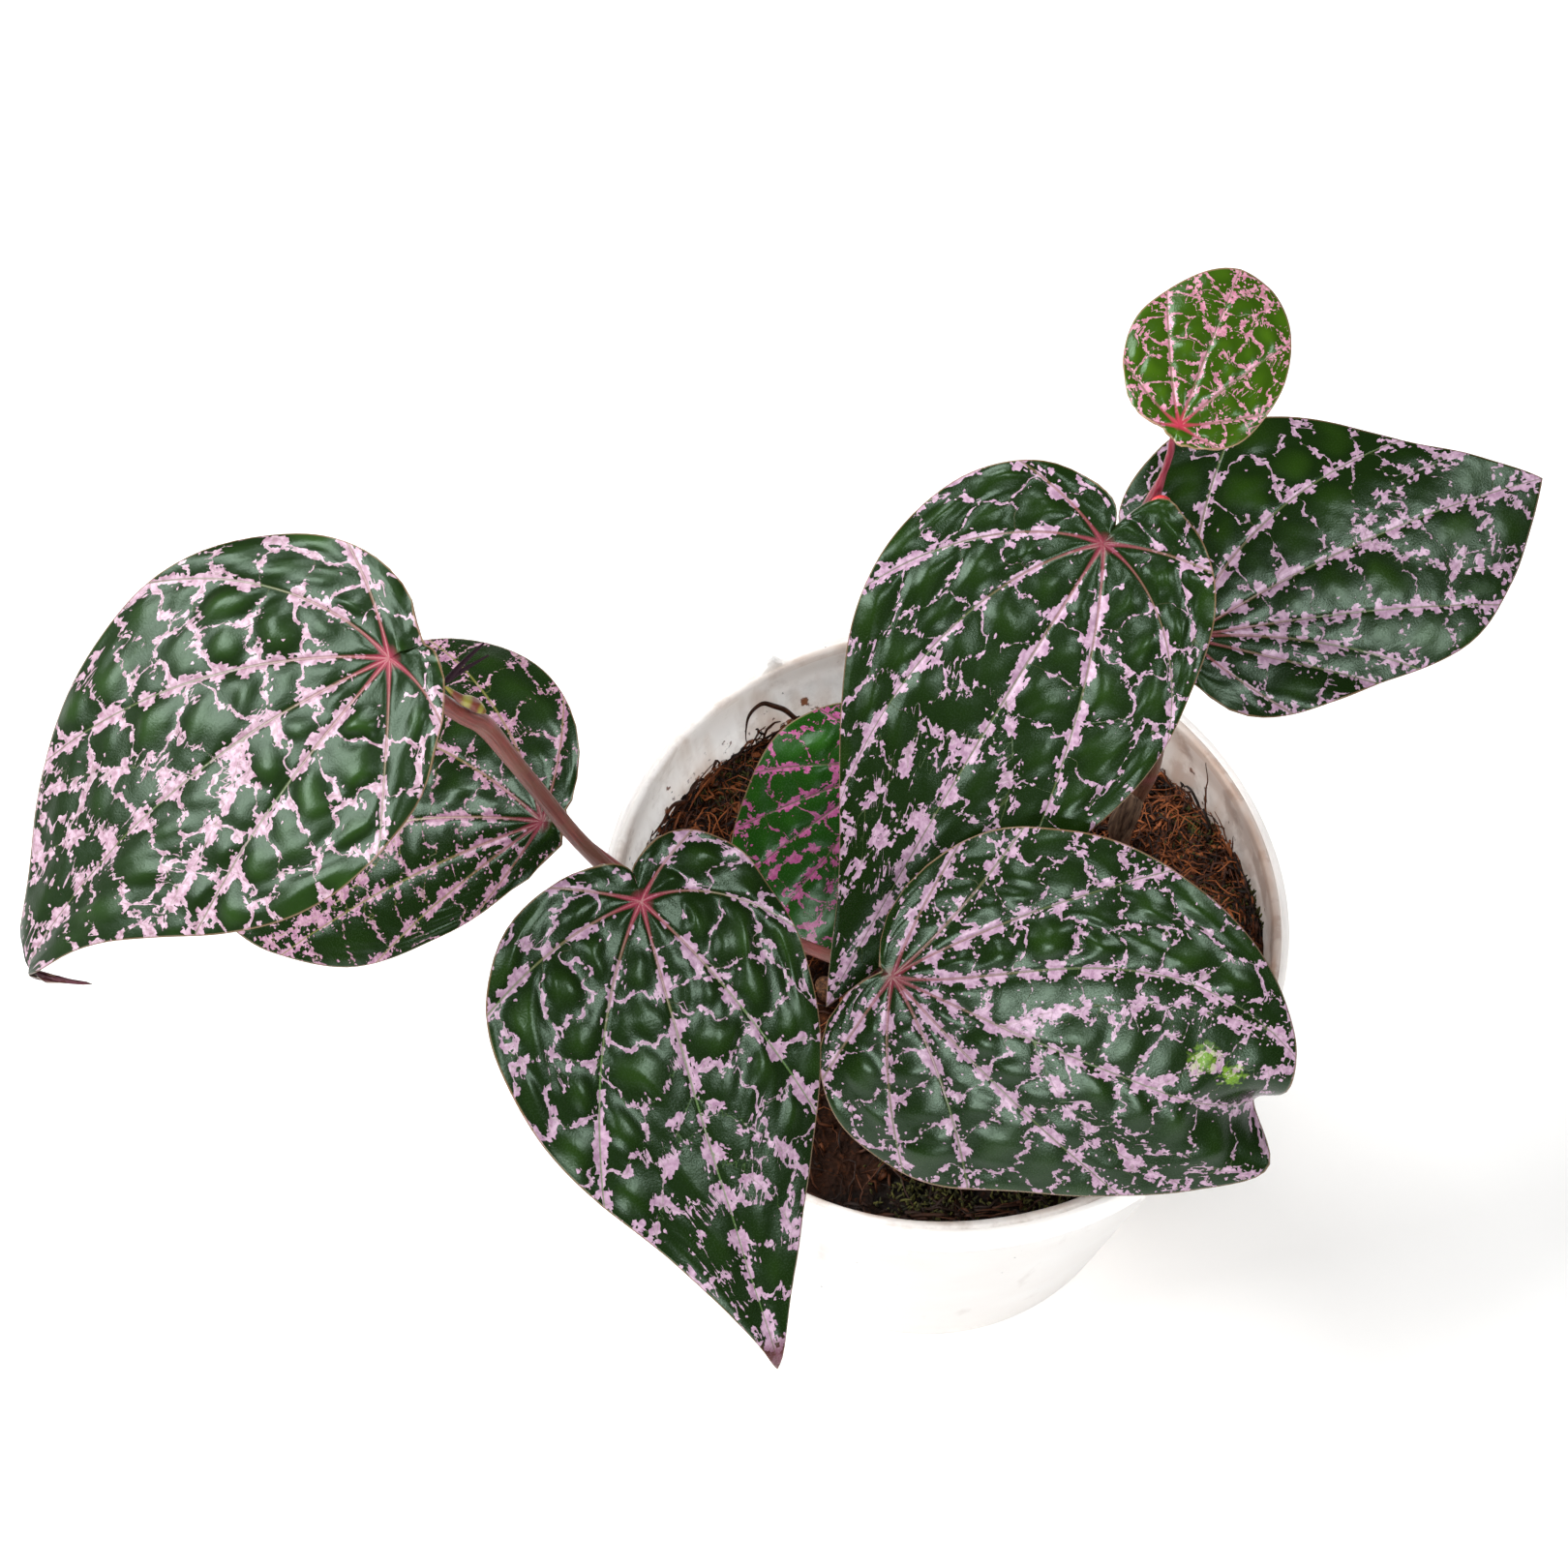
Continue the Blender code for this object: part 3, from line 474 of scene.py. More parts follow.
def strand_mesh(name, lines, widths, heights, shades):
    """One piece of many tapered flattened tubes. lines is strands x points x 3, in metres. Every strand
    carries its own shade between 0 and 1 as a point attribute."""
    count, steps, _ = lines.shape
    along = np.gradient(lines, axis=1)
    along /= np.linalg.norm(along, axis=2, keepdims=True) + 1e-12
    upright = np.array([0.0, 0.0, 1.0])
    side = np.cross(along, upright)
    side /= np.linalg.norm(side, axis=2, keepdims=True) + 1e-9
    above = np.cross(side, along)
    taper = np.sin(np.linspace(0.12, 0.93, steps) * math.pi)[None, :, None] ** 0.5
    rings = []
    for index in range(FIBRE_SIDES):
        angle = 2 * math.pi * (index + 0.5) / FIBRE_SIDES
        rings.append(
            lines
            + side * (math.cos(angle) * widths.reshape(count, -1, 1) * taper)
            + above * (math.sin(angle) * heights.reshape(count, -1, 1) * taper)
        )
    vertices = np.stack(rings, axis=2).reshape(-1, 3)
    faces = []
    for strand in range(count):
        base = strand * steps * FIBRE_SIDES
        for step in range(steps - 1):
            for index in range(FIBRE_SIDES):
                a = base + step * FIBRE_SIDES + index
                b = base + step * FIBRE_SIDES + (index + 1) % FIBRE_SIDES
                faces.append((a, b, b + FIBRE_SIDES, a + FIBRE_SIDES))
        faces.append(tuple(base + index for index in reversed(range(FIBRE_SIDES))))
        last = base + (steps - 1) * FIBRE_SIDES
        faces.append(tuple(last + index for index in range(FIBRE_SIDES)))
    mesh = bpy.data.meshes.new(name)
    mesh.from_pydata(vertices, [], faces)
    mesh.update()
    shade_layer = mesh.attributes.new("shade", "FLOAT", "POINT")
    shade_layer.data.foreach_set("value", np.repeat(shades, steps * FIBRE_SIDES).astype(np.float32))
    mesh.shade_smooth()
    piece = bpy.data.objects.new(name, mesh)
    scene.collection.objects.link(piece)
    return piece


def inside_pot(x, y, z, margin):
    """Pulls places in from the pot's inner wall."""
    limit = wall_radius(z) - WALL - margin
    flat = np.hypot(x, y) + 1e-9
    pull = np.minimum(1.0, limit / flat)
    return x * pull, y * pull


def lying_strands(count, seed, length, curl, lift, weight):
    """Centre lines of curled strands that lie on the soil, thrown where weight(x, y) is high."""
    draw = np.random.default_rng(seed)
    places = []
    while len(places) < count:
        angle = draw.uniform(0, 2 * math.pi)
        distance = soil_edge * math.sqrt(draw.uniform(0, 1))
        px, py = distance * math.cos(angle), distance * math.sin(angle)
        if draw.uniform(0, 1) < weight(px, py):
            places.append((px, py))
    places = np.array(places)
    heading = draw.uniform(0, 2 * math.pi, count)
    turn = draw.normal(0, curl, (count, FIBRE_STEPS)).cumsum(axis=1) + draw.normal(0, curl, count)[:, None]
    stride = draw.uniform(length[0], length[1], count)[:, None] / (FIBRE_STEPS - 1)
    directions = heading[:, None] + turn
    x = places[:, 0:1] + np.cumsum(np.cos(directions) * stride, axis=1)
    y = places[:, 1:2] + np.cumsum(np.sin(directions) * stride, axis=1)
    x, y = inside_pot(x, y, SOIL_LEVEL, 1.2 * MM)
    hump = np.sin(np.linspace(0.0, 1.0, FIBRE_STEPS) * math.pi)[None, :]
    rise = draw.uniform(lift[0], lift[1], count)[:, None] * hump
    rise = rise + draw.normal(0, 0.3 * MM, (count, FIBRE_STEPS))
    z = rough_height(x, y) + rise
    x, y = inside_pot(x, y, z, 0.9 * MM)
    return np.stack([x, y, z], axis=2), draw


def fibre_weight(x, y):
    """Thick fibre at the right and the back, and less of it in the middle and at the front."""
    right = math.exp(-(((x - 50 * MM) / (32 * MM)) ** 2 + ((y - 18 * MM) / (38 * MM)) ** 2))
    back = math.exp(-(((x + 30 * MM) / (40 * MM)) ** 2 + ((y - 48 * MM) / (30 * MM)) ** 2))
    sparse = 0.16 if y > -35 * MM else 0.12
    return sparse + 0.84 * max(right, 0.8 * back)


# name, count, seed, length, curl, lift, half width: fine hair, stouter strands, and short crumbs of husk
FIBRE_SORTS = (
    ("coir_hair", 2300, 21, (7 * MM, 22 * MM), 0.62, (0.3 * MM, 4.2 * MM), (0.10 * MM, 0.24 * MM)),
    ("coir_strands", 700, 22, (5 * MM, 15 * MM), 0.85, (0.3 * MM, 3.4 * MM), (0.25 * MM, 0.5 * MM)),
    ("husk_crumbs", 1100, 23, (1.5 * MM, 4 * MM), 0.5, (0.2 * MM, 1.6 * MM), (0.35 * MM, 0.9 * MM)),
)
fibre_pieces = []
for name, count, seed, length, curl, lift, half in FIBRE_SORTS:
    lines, draw = lying_strands(count, seed, length, curl, lift, fibre_weight)
    thick = draw.uniform(half[0], half[1], len(lines))
    flattened = thick * draw.uniform(0.45, 0.8, len(lines))
    shades = draw.uniform(0, 1, len(lines)) ** 1.8
    fibre_pieces.append(strand_mesh(name, lines, thick, flattened, shades))


def height_under(x, y):
    """The rough soil's height at one place."""
    return float(rough_height(np.array([x]), np.array([y]))[0])


def wall_tufts(count, seed, arcs):
    """Strands that stand in clumps against the wall, on arcs given in degrees, from the soil upwards."""
    draw = np.random.default_rng(seed)
    lines = []
    for _ in range(count):
        low, high = arcs[draw.integers(len(arcs))]
        angle = math.radians(draw.uniform(low, high))
        clump = 0.5 + 0.5 * math.sin(9 * angle) * math.sin(23 * angle + 1)
        if draw.uniform() > 0.25 + 0.75 * clump:
            continue
        in_from_wall = abs(draw.normal(0, 2.2)) * MM
        radius = soil_edge - in_from_wall
        tall = draw.uniform(1.0, 2.0 + 5.5 * clump) * MM
        drift = math.radians(draw.normal(0, 4))
        t = np.linspace(0, 1, FIBRE_STEPS)
        wobble = draw.normal(0, 0.012, FIBRE_STEPS).cumsum()
        turn = angle + drift * t + wobble
        foot = height_under(radius * math.cos(angle), radius * math.sin(angle))
        z = foot - MM + (tall + MM) * np.sin(t * draw.uniform(1.2, 2.4))
        lines.append(np.stack([radius * np.cos(turn), radius * np.sin(turn), z], axis=1))
    lines = np.array(lines)
    x, y = inside_pot(lines[:, :, 0], lines[:, :, 1], lines[:, :, 2], 0.7 * MM)
    return np.stack([x, y, lines[:, :, 2]], axis=2), draw


lines, draw = wall_tufts(900, 31, ((95, 175), (-45, 62), (-110, -70)))
thick = draw.uniform(0.15, 0.5, len(lines)) * MM
shades = 0.7 * draw.uniform(0, 1, len(lines)) ** 2
fibre_pieces.append(strand_mesh("wall_tufts", lines, thick, 0.7 * thick, shades))

# Stray roots: two stout dark rootlets at the back left and two thin ones at the right, that cling to the
# inside of the wall as they dry, as (degrees round, height, gap to the wall, half width) in mm.
ROOTLETS = (
    (
        (118, 104, 2.5, 0.9), (121, 109, 1.6, 0.75), (124.5, 112.5, 0.9, 0.55), (128, 110, 0.9, 0.4),
        (129, 103, 1.0, 0.22),
    ),
    ((146, 103, 1.4, 0.7), (150, 106.5, 1.0, 0.5), (154, 106, 0.9, 0.42), (158, 107, 0.8, 0.2)),
    (
        (33, 118, 0.8, 0.12), (31, 114, 0.8, 0.2), (30, 110, 0.8, 0.26), (27.5, 106, 1.2, 0.3),
        (24, 103, 2.5, 0.34),
    ),
    ((20, 111, 0.8, 0.1), (19, 109, 0.9, 0.24), (16.5, 106.5, 1.5, 0.3), (14, 104, 3.0, 0.34)),
)
ROOT_SHADE = 0.3
ROUTE_STEPS = 10


def smooth_route(points, per_gap=ROUTE_STEPS):
    """A smooth curve through (x, y, z, radius) points."""
    points = np.array(points, float)
    padded = np.concatenate([points[:1], points, points[-1:]])
    t = (np.arange(per_gap) / per_gap)[:, None]
    route = []
    for a, b, c, d in zip(padded[:-3], padded[1:-2], padded[2:-1], padded[3:]):
        bent = 2 * b + (c - a) * t + (2 * a - 5 * b + 4 * c - d) * t**2 + (3 * b - a - 3 * c + d) * t**3
        route.append(0.5 * bent)
    return np.concatenate([*route, points[-1:]])


def rootlet_line(points):
    """A rootlet's centre line and half widths, eased through its points."""
    angle, height, gap, half = smooth_route(points).T
    radius = wall_radius(height * MM) - WALL - gap * MM - half * MM
    angle = np.radians(angle + 0.12 * np.sin(0.55 * np.arange(len(angle))))
    line = np.stack([radius * np.cos(angle), radius * np.sin(angle), height * MM], axis=1)
    return line, half * MM


for index, points in enumerate(ROOTLETS):
    line, half = rootlet_line(points)
    shades = np.array([ROOT_SHADE])
    fibre_pieces.append(strand_mesh(f"rootlet_{index}", line[None], half, 0.8 * half, shades))

# Coconut husk fibre: hard and slightly shiny, from orange-brown to nearly black from strand to strand,
# streaked every 1.6 mm, and darkened towards the front by painted shade.
coir, tree, shader = new_material("coconut husk fibre")
place = add_node(tree, "TexCoord", output="Object")
own = add_node(tree, "Attribute", output="Fac", attribute_name="shade")
streaks = add_node(tree, "TexNoise", {"Vector": place, "Scale": 620.0, "Detail": 3.0})
mixed = add_node(tree, "Math", (streaks, 0.6, own), operation="MULTIPLY_ADD")
tone = add_node(tree, "ValToRGB", (mixed,))
ramp = tone.node.color_ramp
ramp.elements[0].position = 0.3
ramp.elements[0].color = linear("#120905")
ramp.elements[1].position = 1.25 / 1.3
ramp.elements[1].color = linear("#8f4f28")
middle = ramp.elements.new(0.62)
middle.color = linear("#43210f")
# painted shade: the fibre darkens towards the front
front = add_node(tree, "SeparateXYZ", (place,), output=1)
damp = add_node(tree, "MapRange", (front, *FRONT_SHADE_SPAN, 0.8, 0.0))
front_shaded_fibre = add_node(tree, "Mix", {0: damp, 6: tone, 7: "#1c0f07"}, output=2, data_type="RGBA")
fill_sockets(tree, shader, {"Base Color": front_shaded_fibre, "Roughness": 0.6, "Specular IOR Level": 0.3})
for piece in fibre_pieces:
    piece.data.materials.append(coir)
    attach(piece, "root")

# Moss: low cushions of short pointed shoots on the fibre, at the right wall, at the front and behind the
# left shoot.
MOSS_CUSHIONS = (
    (62, 6, 9, 260), (58, 30, 8, 160), (20, -62, 15, 520), (-4, -60, 10, 320),
    (-46, 44, 10, 200), (-20, 52, 8, 120), (45, -38, 10, 160), (-58, 8, 7, 120),
)
MOSS_SEED = 5
MOSS_STEPS = 4
MOSS_HALF_WIDTH = 0.3 * MM


def moss_lines():
    """Centre lines of moss shoots, scattered round the cushions given as (x, y, spread, count)."""
    draw = np.random.default_rng(MOSS_SEED)
    lines = []
    for middle_x, middle_y, spread, count in MOSS_CUSHIONS:
        for _ in range(count):
            px = (middle_x + draw.normal(0, spread * 0.5)) * MM
            py = (middle_y + draw.normal(0, spread * 0.5)) * MM
            lean = draw.normal(0, 0.8, 2) * MM
            tall = draw.uniform(1.0, 2.6) * MM
            steps = np.linspace(0, 1, MOSS_STEPS)[:, None]
            foot = np.array([px, py, height_under(px, py) - MOSS_HALF_WIDTH])
            lines.append(foot + steps * np.array([0, 0, tall]) + steps**2 * np.array([lean[0], lean[1], 0]))
    lines = np.array(lines)
    x, y = inside_pot(lines[:, :, 0], lines[:, :, 1], lines[:, :, 2], 0.6 * MM)
    return np.stack([x, y, lines[:, :, 2]], axis=2), draw


lines, draw = moss_lines()
thick = np.full(len(lines), MOSS_HALF_WIDTH)
moss = strand_mesh("moss", lines, thick, thick, draw.uniform(0, 1, len(lines)))

# Living moss: matt, each shoot somewhere from dark olive to yellow-green.
moss_green, tree, shader = new_material("olive moss")
own = add_node(tree, "Attribute", output="Fac", attribute_name="shade")
tone = add_node(tree, "Mix", {0: own, 6: "#1d1f08", 7: "#55531c"}, output=2, data_type="RGBA")
fill_sockets(tree, shader, {"Base Color": tone, "Roughness": 0.85})
moss.data.materials.append(moss_green)
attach(moss, "root")

# Blades: eight living leaves, each a heart-shaped sheet with three or four main veins on either side of
# its midrib, quilted between its veins. The solids' bends and outlines are repeated here, finer.
RAYS = np.array((0, 6, 14, 26, 42, 65, 90, 115, 140, 165, 180), float)
VEIN_CURVE = 0.7
TIP_CURL_START = 0.9
PINCH_START = 0.76
PINCH_WIDTH = 6.0
FOLD_ROUNDING = 3.0
WAVES_AROUND = 7
SMALL_WAVES_AROUND = 12
HOOK_START = 0.92
BLADE_THICKNESS = 0.45
RIB_THICKNESS = 1.5
RIB_HALF = 0.75
SMALL_RIB = 0.25
SMALL_RIB_HALF = 0.5
RUNG_SLANT = 0.45
SIDE_VEIN_LEAVES = math.radians(48)
PUFF_EDGE_MOST = 3.2
PUFF_EDGE_PART = 0.35
PUFF_GAIN = 1.25
RIM_EASE = 3.0
UNEVEN_HEIGHT = 0.25
UNEVEN_SPREAD = 26.0
GROOVE_SINK = 0.28
GROOVE_WIDE = 0.55
FAR_AWAY = 1e3
UV_TO_MM = 100.0
PATCH_EDGE = 0.015

# Each blade, in mm and degrees: its place, turn and bends as in the solids, the height of its quilting
# and of its margin's waves, the size of a puff (cell), the length of its drawn-out tip (drip) and how far
# that bends sideways (hook), its reaches on the RAYS, its main veins on each side as (ray at the stalk,
# ray at the margin, sideways bow), and the side veins off its midrib as (place on it, ray at the margin).
LEAVES = {
    "leaf_far_left": dict(
        base=(-103, -28, 268), heading=-167, pitch=-22, roll=-17,
        droop=26, sweep=26, curl=135, pinch=0, arch=-2, fold=0, quilt=1.7, wave=0.8, cell=8.8,
        drip=8, hook=0.75,
        left=(103, 84, 72, 61, 49, 34, 22, 15, 11, 9, 7),
        right=(103, 89, 79, 67, 53, 35, 22, 14, 9, 7, 7),
        left_veins=((27, 21, 0), (72, 64, 0), (132, 112, 0)),
        right_veins=((28, 19, 0), (70, 45, 0), (98, 88, 0)),
        side_veins=((44, -15), (31, 14), (62, -8)),
    ),
    "leaf_under_left": dict(
        base=(-82, -16, 189), heading=164, pitch=-14, roll=-23,
        droop=18, sweep=32, curl=0, pinch=0, arch=-8, fold=-6, quilt=1.15, wave=0.8, cell=9,
        left=(85, 80.5, 74, 58, 34, 16, 9, 7, 6, 5, 5),
        right=(85, 81, 77, 73, 64, 41, 22, 11, 6, 5, 5),
        left_veins=((26, 15, 0), (42, 29, 0), (66, 50, 0)),
        right_veins=((33, 28, 0), (64, 50, 0), (98, 82, 0)),
        side_veins=((30, 12), (34, -14)),
    ),
    "leaf_front": dict(
        base=(-61, -46, 212), heading=-73, pitch=-28, roll=-15,
        droop=12, sweep=8, curl=30, pinch=0, arch=-2, fold=0, quilt=1.4, wave=0.8, cell=9.5, drip=2,
        left=(92, 77, 65, 54, 43, 32, 25, 20, 15, 9, 6),
        right=(92, 76, 64, 55, 47, 38, 28, 17, 11, 8, 6),
        left_veins=((37, 25, 0), (106, 66, 0), (140, 128, 0)),
        right_veins=((44, 24, 0), (90, 70, 0), (120, 112, 0)),
        side_veins=((38, 16), (49, 9), (37, -14)),
    ),
    "leaf_centre": dict(
        base=(28, 30, 218), heading=-128, pitch=-28, roll=-13,
        droop=12, sweep=4, curl=0, pinch=0, arch=-2, fold=0, quilt=1.5, wave=0.8, cell=10,
        left=(108, 87.5, 74, 60, 47, 33, 26, 21, 17, 13, 4.5),
        right=(108, 87, 73, 61, 51, 39, 28, 19, 12, 8, 4.5),
        left_veins=((34, 17, 0), (95, 50, 0), (124, 108, 0)),
        right_veins=((50, 14, 0), (82, 48, 0), (118, 102, 0)),
        side_veins=((44, -10), (36, 8), (62, -5)),
    ),
    "leaf_front_right": dict(
        base=(-13, -40, 169), heading=-23, pitch=-13, roll=45,
        droop=20, sweep=2, curl=0, pinch=12, arch=-4, fold=0, quilt=1.3, wave=0.8, cell=9.5,
        left=(85, 85, 83, 75, 62, 46, 30, 15.5, 6.5, 3, 2.5),
        right=(85, 90, 79, 64, 52, 44, 31, 17.5, 7, 3, 2.5),
        left_veins=((12, 11, 17), (61, 45, 0), (68, 75, 0), (99, 90, 0)),
        right_veins=((24, 22, 0), (33, 47, 0), (75, 62, 0), (100, 96, 0)),
        side_veins=((31, -14), (57, 9), (24, 14)),
    ),
    "leaf_rear_right": dict(
        base=(47, 25, 192), heading=34, pitch=5, roll=23,
        droop=12, sweep=-16, curl=0, pinch=0, arch=-3, fold=0, quilt=0.6, wave=1.4, cell=10.5,
        left=(89, 76, 65, 57.5, 49, 40, 24, 7.5, 4.5, 4, 4),
        right=(89, 84, 77, 64, 41, 27, 18, 10, 7, 4, 4),
        left_veins=((38, 15, 0), (56, 46, 0), (92, 84, 0)),
        right_veins=((22, 18, 0), (26, 33, 0), (46, 40, 0), (80, 64, 0)),
        side_veins=((44, 8), (45, -12)),
    ),
    "leaf_young": dict(
        base=(41, 41, 242), heading=68, pitch=16, roll=9,
        droop=12, sweep=-2, curl=0, pinch=0, arch=-1, fold=0, quilt=0.9, wave=0.5, cell=4.8,
        left=(36, 34.5, 32, 28, 23, 15, 8.5, 3.5, 3, 3, 3),
        right=(36, 36, 35, 31, 24, 16, 11, 6.5, 4.5, 4, 3),
        left_veins=((31, 24, 0), (72, 58, 0), (112, 104, 0)),
        right_veins=((28, 29, 0), (68, 58, 0), (106, 100, 0)),
        side_veins=((20, 14), (20, -15), (29, -8)),
    ),
    "leaf_low": dict(
        base=(-10.5, 22, 144.5), heading=-135, pitch=-31, roll=-28,
        droop=12, sweep=0, curl=0, pinch=0, arch=-2, fold=0, quilt=1.05, wave=0.8, cell=7.5,
        left=(49, 48.5, 46, 40, 33, 27, 21, 16, 11, 6, 5),
        right=(49, 48.5, 46, 40, 33, 27, 21, 16, 11, 6, 5),
        left_veins=((28, 20, 0), (60, 46, 0), (105, 90, 0)),
        right_veins=((22, 15, 0), (40, 30, 0), (64, 50, 0), (105, 90, 0)),
        side_veins=((22, 9), (22, -8)),
    ),
}


class Blade:
    """The surface of one blade in millimetres, from flat places (u along the midrib, v to its left)."""

    def __init__(self, form):
        heading, pitch, roll = (math.radians(form[key]) for key in ("heading", "pitch", "roll"))
        level = math.cos(pitch)
        along = np.array((level * math.cos(heading), level * math.sin(heading), math.sin(pitch)))
        left = np.array((-math.sin(heading), math.cos(heading), 0.0))
        above = np.cross(along, left)
        self.base = np.array(form["base"], float)
        self.along = along
        self.side = left * math.cos(roll) + above * math.sin(roll)
        self.normal = above * math.cos(roll) - left * math.sin(roll)
        self.length = form["left"][0]
        self.form = form
        steps = np.linspace(-0.4 * self.length, 1.15 * self.length, 1241)
        droop, sweep = self.bend((steps[1:] + steps[:-1]) / 2)
        direction = np.stack(
            [np.cos(droop) * np.cos(sweep), np.sin(sweep), -np.sin(droop) * np.cos(sweep)], axis=1
        )
        line = np.concatenate([np.zeros((1, 3)), np.cumsum(direction * np.diff(steps)[:, None], axis=0)])
        foot = [np.interp(0.0, steps, line[:, i]) for i in range(3)]
        self.steps = steps
        self.line = line - foot

    def reach(self, degrees, hand):
        """Distance from the stalk to the margin, eased between the rays on the log of the reach."""
        logs = np.log(np.array(self.form["left" if hand > 0 else "right"], float))
        last = len(RAYS) - 1
        k = np.clip(np.searchsorted(RAYS, degrees, side="left") - 1, 0, last - 1)
        width = RAYS[k + 1] - RAYS[k]
        t = (degrees - RAYS[k]) / width
        low = np.maximum(np.arange(last + 1) - 1, 0)
        high = np.minimum(np.arange(last + 1) + 1, last)
        slopes = (logs[high] - logs[low]) / (RAYS[high] - RAYS[low])
        value = (
            (2 * t**3 - 3 * t**2 + 1) * logs[k]
            + (t**3 - 2 * t**2 + t) * width * slopes[k]
            + (3 * t**2 - 2 * t**3) * logs[k + 1]
            + (t**3 - t**2) * width * slopes[k + 1]
        )
        drip = self.form.get("drip", 0.0) / self.length
        return np.exp(value) * (1 + drip * np.exp(-((degrees / 1.3) ** 2)))

    def bend(self, u):
        """Angles by which the midrib has drooped and swept sideways, u from the stalk."""
        part = u / self.length
        tip = np.clip((part - TIP_CURL_START) / (1 - TIP_CURL_START), 0.0, 1.0)
        droop, sweep, curl = (math.radians(self.form[key]) for key in ("droop", "sweep", "curl"))
        return droop * part + curl * tip**2, sweep * part

    def place(self, u, v, lift):
        """Places in space of flat places, raised by lift."""
        form = self.form
        reference = 0.4 * self.length
        hooked = np.clip((u / self.length - HOOK_START) / (1 - HOOK_START), 0, 1)
        v = v * (1 - form.get("hook", 0) * hooked * (2 - hooked))
        lift = lift + form["arch"] * (v / reference) ** 2
        lift = lift + form["fold"] * (np.hypot(v, FOLD_ROUNDING) - FOLD_ROUNDING) / reference
        tip = np.clip((u / self.length - PINCH_START) / (1 - PINCH_START), 0, 1)
        lift = lift - form["pinch"] * tip**1.5 * np.exp(-((v / PINCH_WIDTH) ** 2))
        droop, sweep = self.bend(u)
        middle = np.stack([np.interp(u, self.steps, self.line[:, i]) for i in range(3)], axis=-1)
        sideways = np.stack(
            [-np.sin(sweep) * np.cos(droop), np.cos(sweep), np.sin(sweep) * np.sin(droop)], axis=-1
        )
        outward = np.stack([np.sin(droop), np.zeros_like(droop), np.cos(droop)], axis=-1)
        local = middle + sideways * v[..., None] + outward * lift[..., None]
        return self.base + local @ np.stack([self.along, self.side, self.normal])


def two_nearest(points, seeds):
    """Signed distance of places to the edge between their two nearest seeds, and the nearest seed."""
    gaps = np.linalg.norm(points[:, None, :] - seeds[None, :, :], axis=2)
    order = np.argsort(gaps, axis=1)[:, :2]
    near = np.take_along_axis(gaps, order, axis=1)
    apart = np.linalg.norm(seeds[order[:, 0]] - seeds[order[:, 1]], axis=1)
    edge = (near[:, 1] ** 2 - near[:, 0] ** 2) / (2 * apart)
    sign = np.where(order[:, 0] < order[:, 1], 1.0, -1.0)
    return edge * sign, order[:, 0]


def line_distance(u, v, route):
    """Signed distance of flat places to a line of points."""
    best = np.full(u.shape, FAR_AWAY)
    signed = np.full(u.shape, FAR_AWAY)
    for (au, av), (bu, bv) in zip(route[:-1], route[1:]):
        du, dv = bu - au, bv - av
        size = du * du + dv * dv
        t = np.clip(((u - au) * du + (v - av) * dv) / size, 0, 1)
        away = np.hypot(u - au - t * du, v - av - t * dv)
        side = np.sign(du * (v - av) - dv * (u - au))
        nearer = away < best
        best = np.where(nearer, away, best)
        signed = np.where(nearer, away * side, signed)
    return signed


def side_vein_route(blade, start, ray):
    """A curved side vein from the midrib to the margin."""
    hand = 1 if ray > 0 else -1
    reach = 0.97 * float(blade.reach(np.array([abs(ray)], float), hand)[0])
    end = np.array([reach * math.cos(math.radians(ray)), reach * math.sin(math.radians(ray))])
    foot = np.array([start, 0.0])
    size = np.linalg.norm(end - foot)
    knee = foot + 0.5 * size * np.array([math.cos(SIDE_VEIN_LEAVES), hand * math.sin(SIDE_VEIN_LEAVES)])
    route = []
    for t in np.linspace(0, 1, 13):
        route.append((1 - t) ** 2 * foot + 2 * t * (1 - t) * knee + t**2 * end)
    return route


def sector_net(blade, name, hand, sector, across, turn, width, distance):
    """The small veins of one sector, as the edges between cells that lie like rungs between its veins."""
    cell = blade.form["cell"]
    draw = np.random.default_rng([sum(map(ord, name)), hand + 1, sector])
    order = np.argsort(distance, axis=None)
    far = distance.ravel()[order]
    wide = width.ravel()[order]
    seeds = []
    row = 0.45 * cell
    while row < far[-1] + cell:
        here = float(np.interp(row, far, wide))
        count = max(1, round(here / (1.3 * cell)))
        for index in range(count):
            a = here * (index + 0.5 + draw.uniform(-0.16, 0.16)) / count
            seeds.append((a, row - RUNG_SLANT * 0.5 * here / count + draw.uniform(-0.2, 0.2) * cell))
        row += cell * draw.uniform(0.8, 1.15)
    seeds.append((0.5 * wide[-1], far[-1] + 2 * cell))
    seeds = np.array(seeds)
    a = (across * width).ravel()
    b = distance.ravel() - RUNG_SLANT * a
    seeds[:, 1] -= RUNG_SLANT * seeds[:, 0] * 0.5
    wobble = 0.11 * cell
    u = (distance * np.cos(turn)).ravel()
    v = (distance * np.sin(turn)).ravel() * hand
    a = a + wobble * smooth_noise(u, v, 7.0, 11 + sector, 2) * 1.5
    b = b + wobble * smooth_noise(u, v, 6.0, 31 + sector, 2) * 1.5
    signed, nearest = two_nearest(np.stack([a, b], axis=1), seeds)
    shade = draw.uniform(0, 1, len(seeds))[nearest]
    return signed.reshape(distance.shape), shade.reshape(distance.shape)


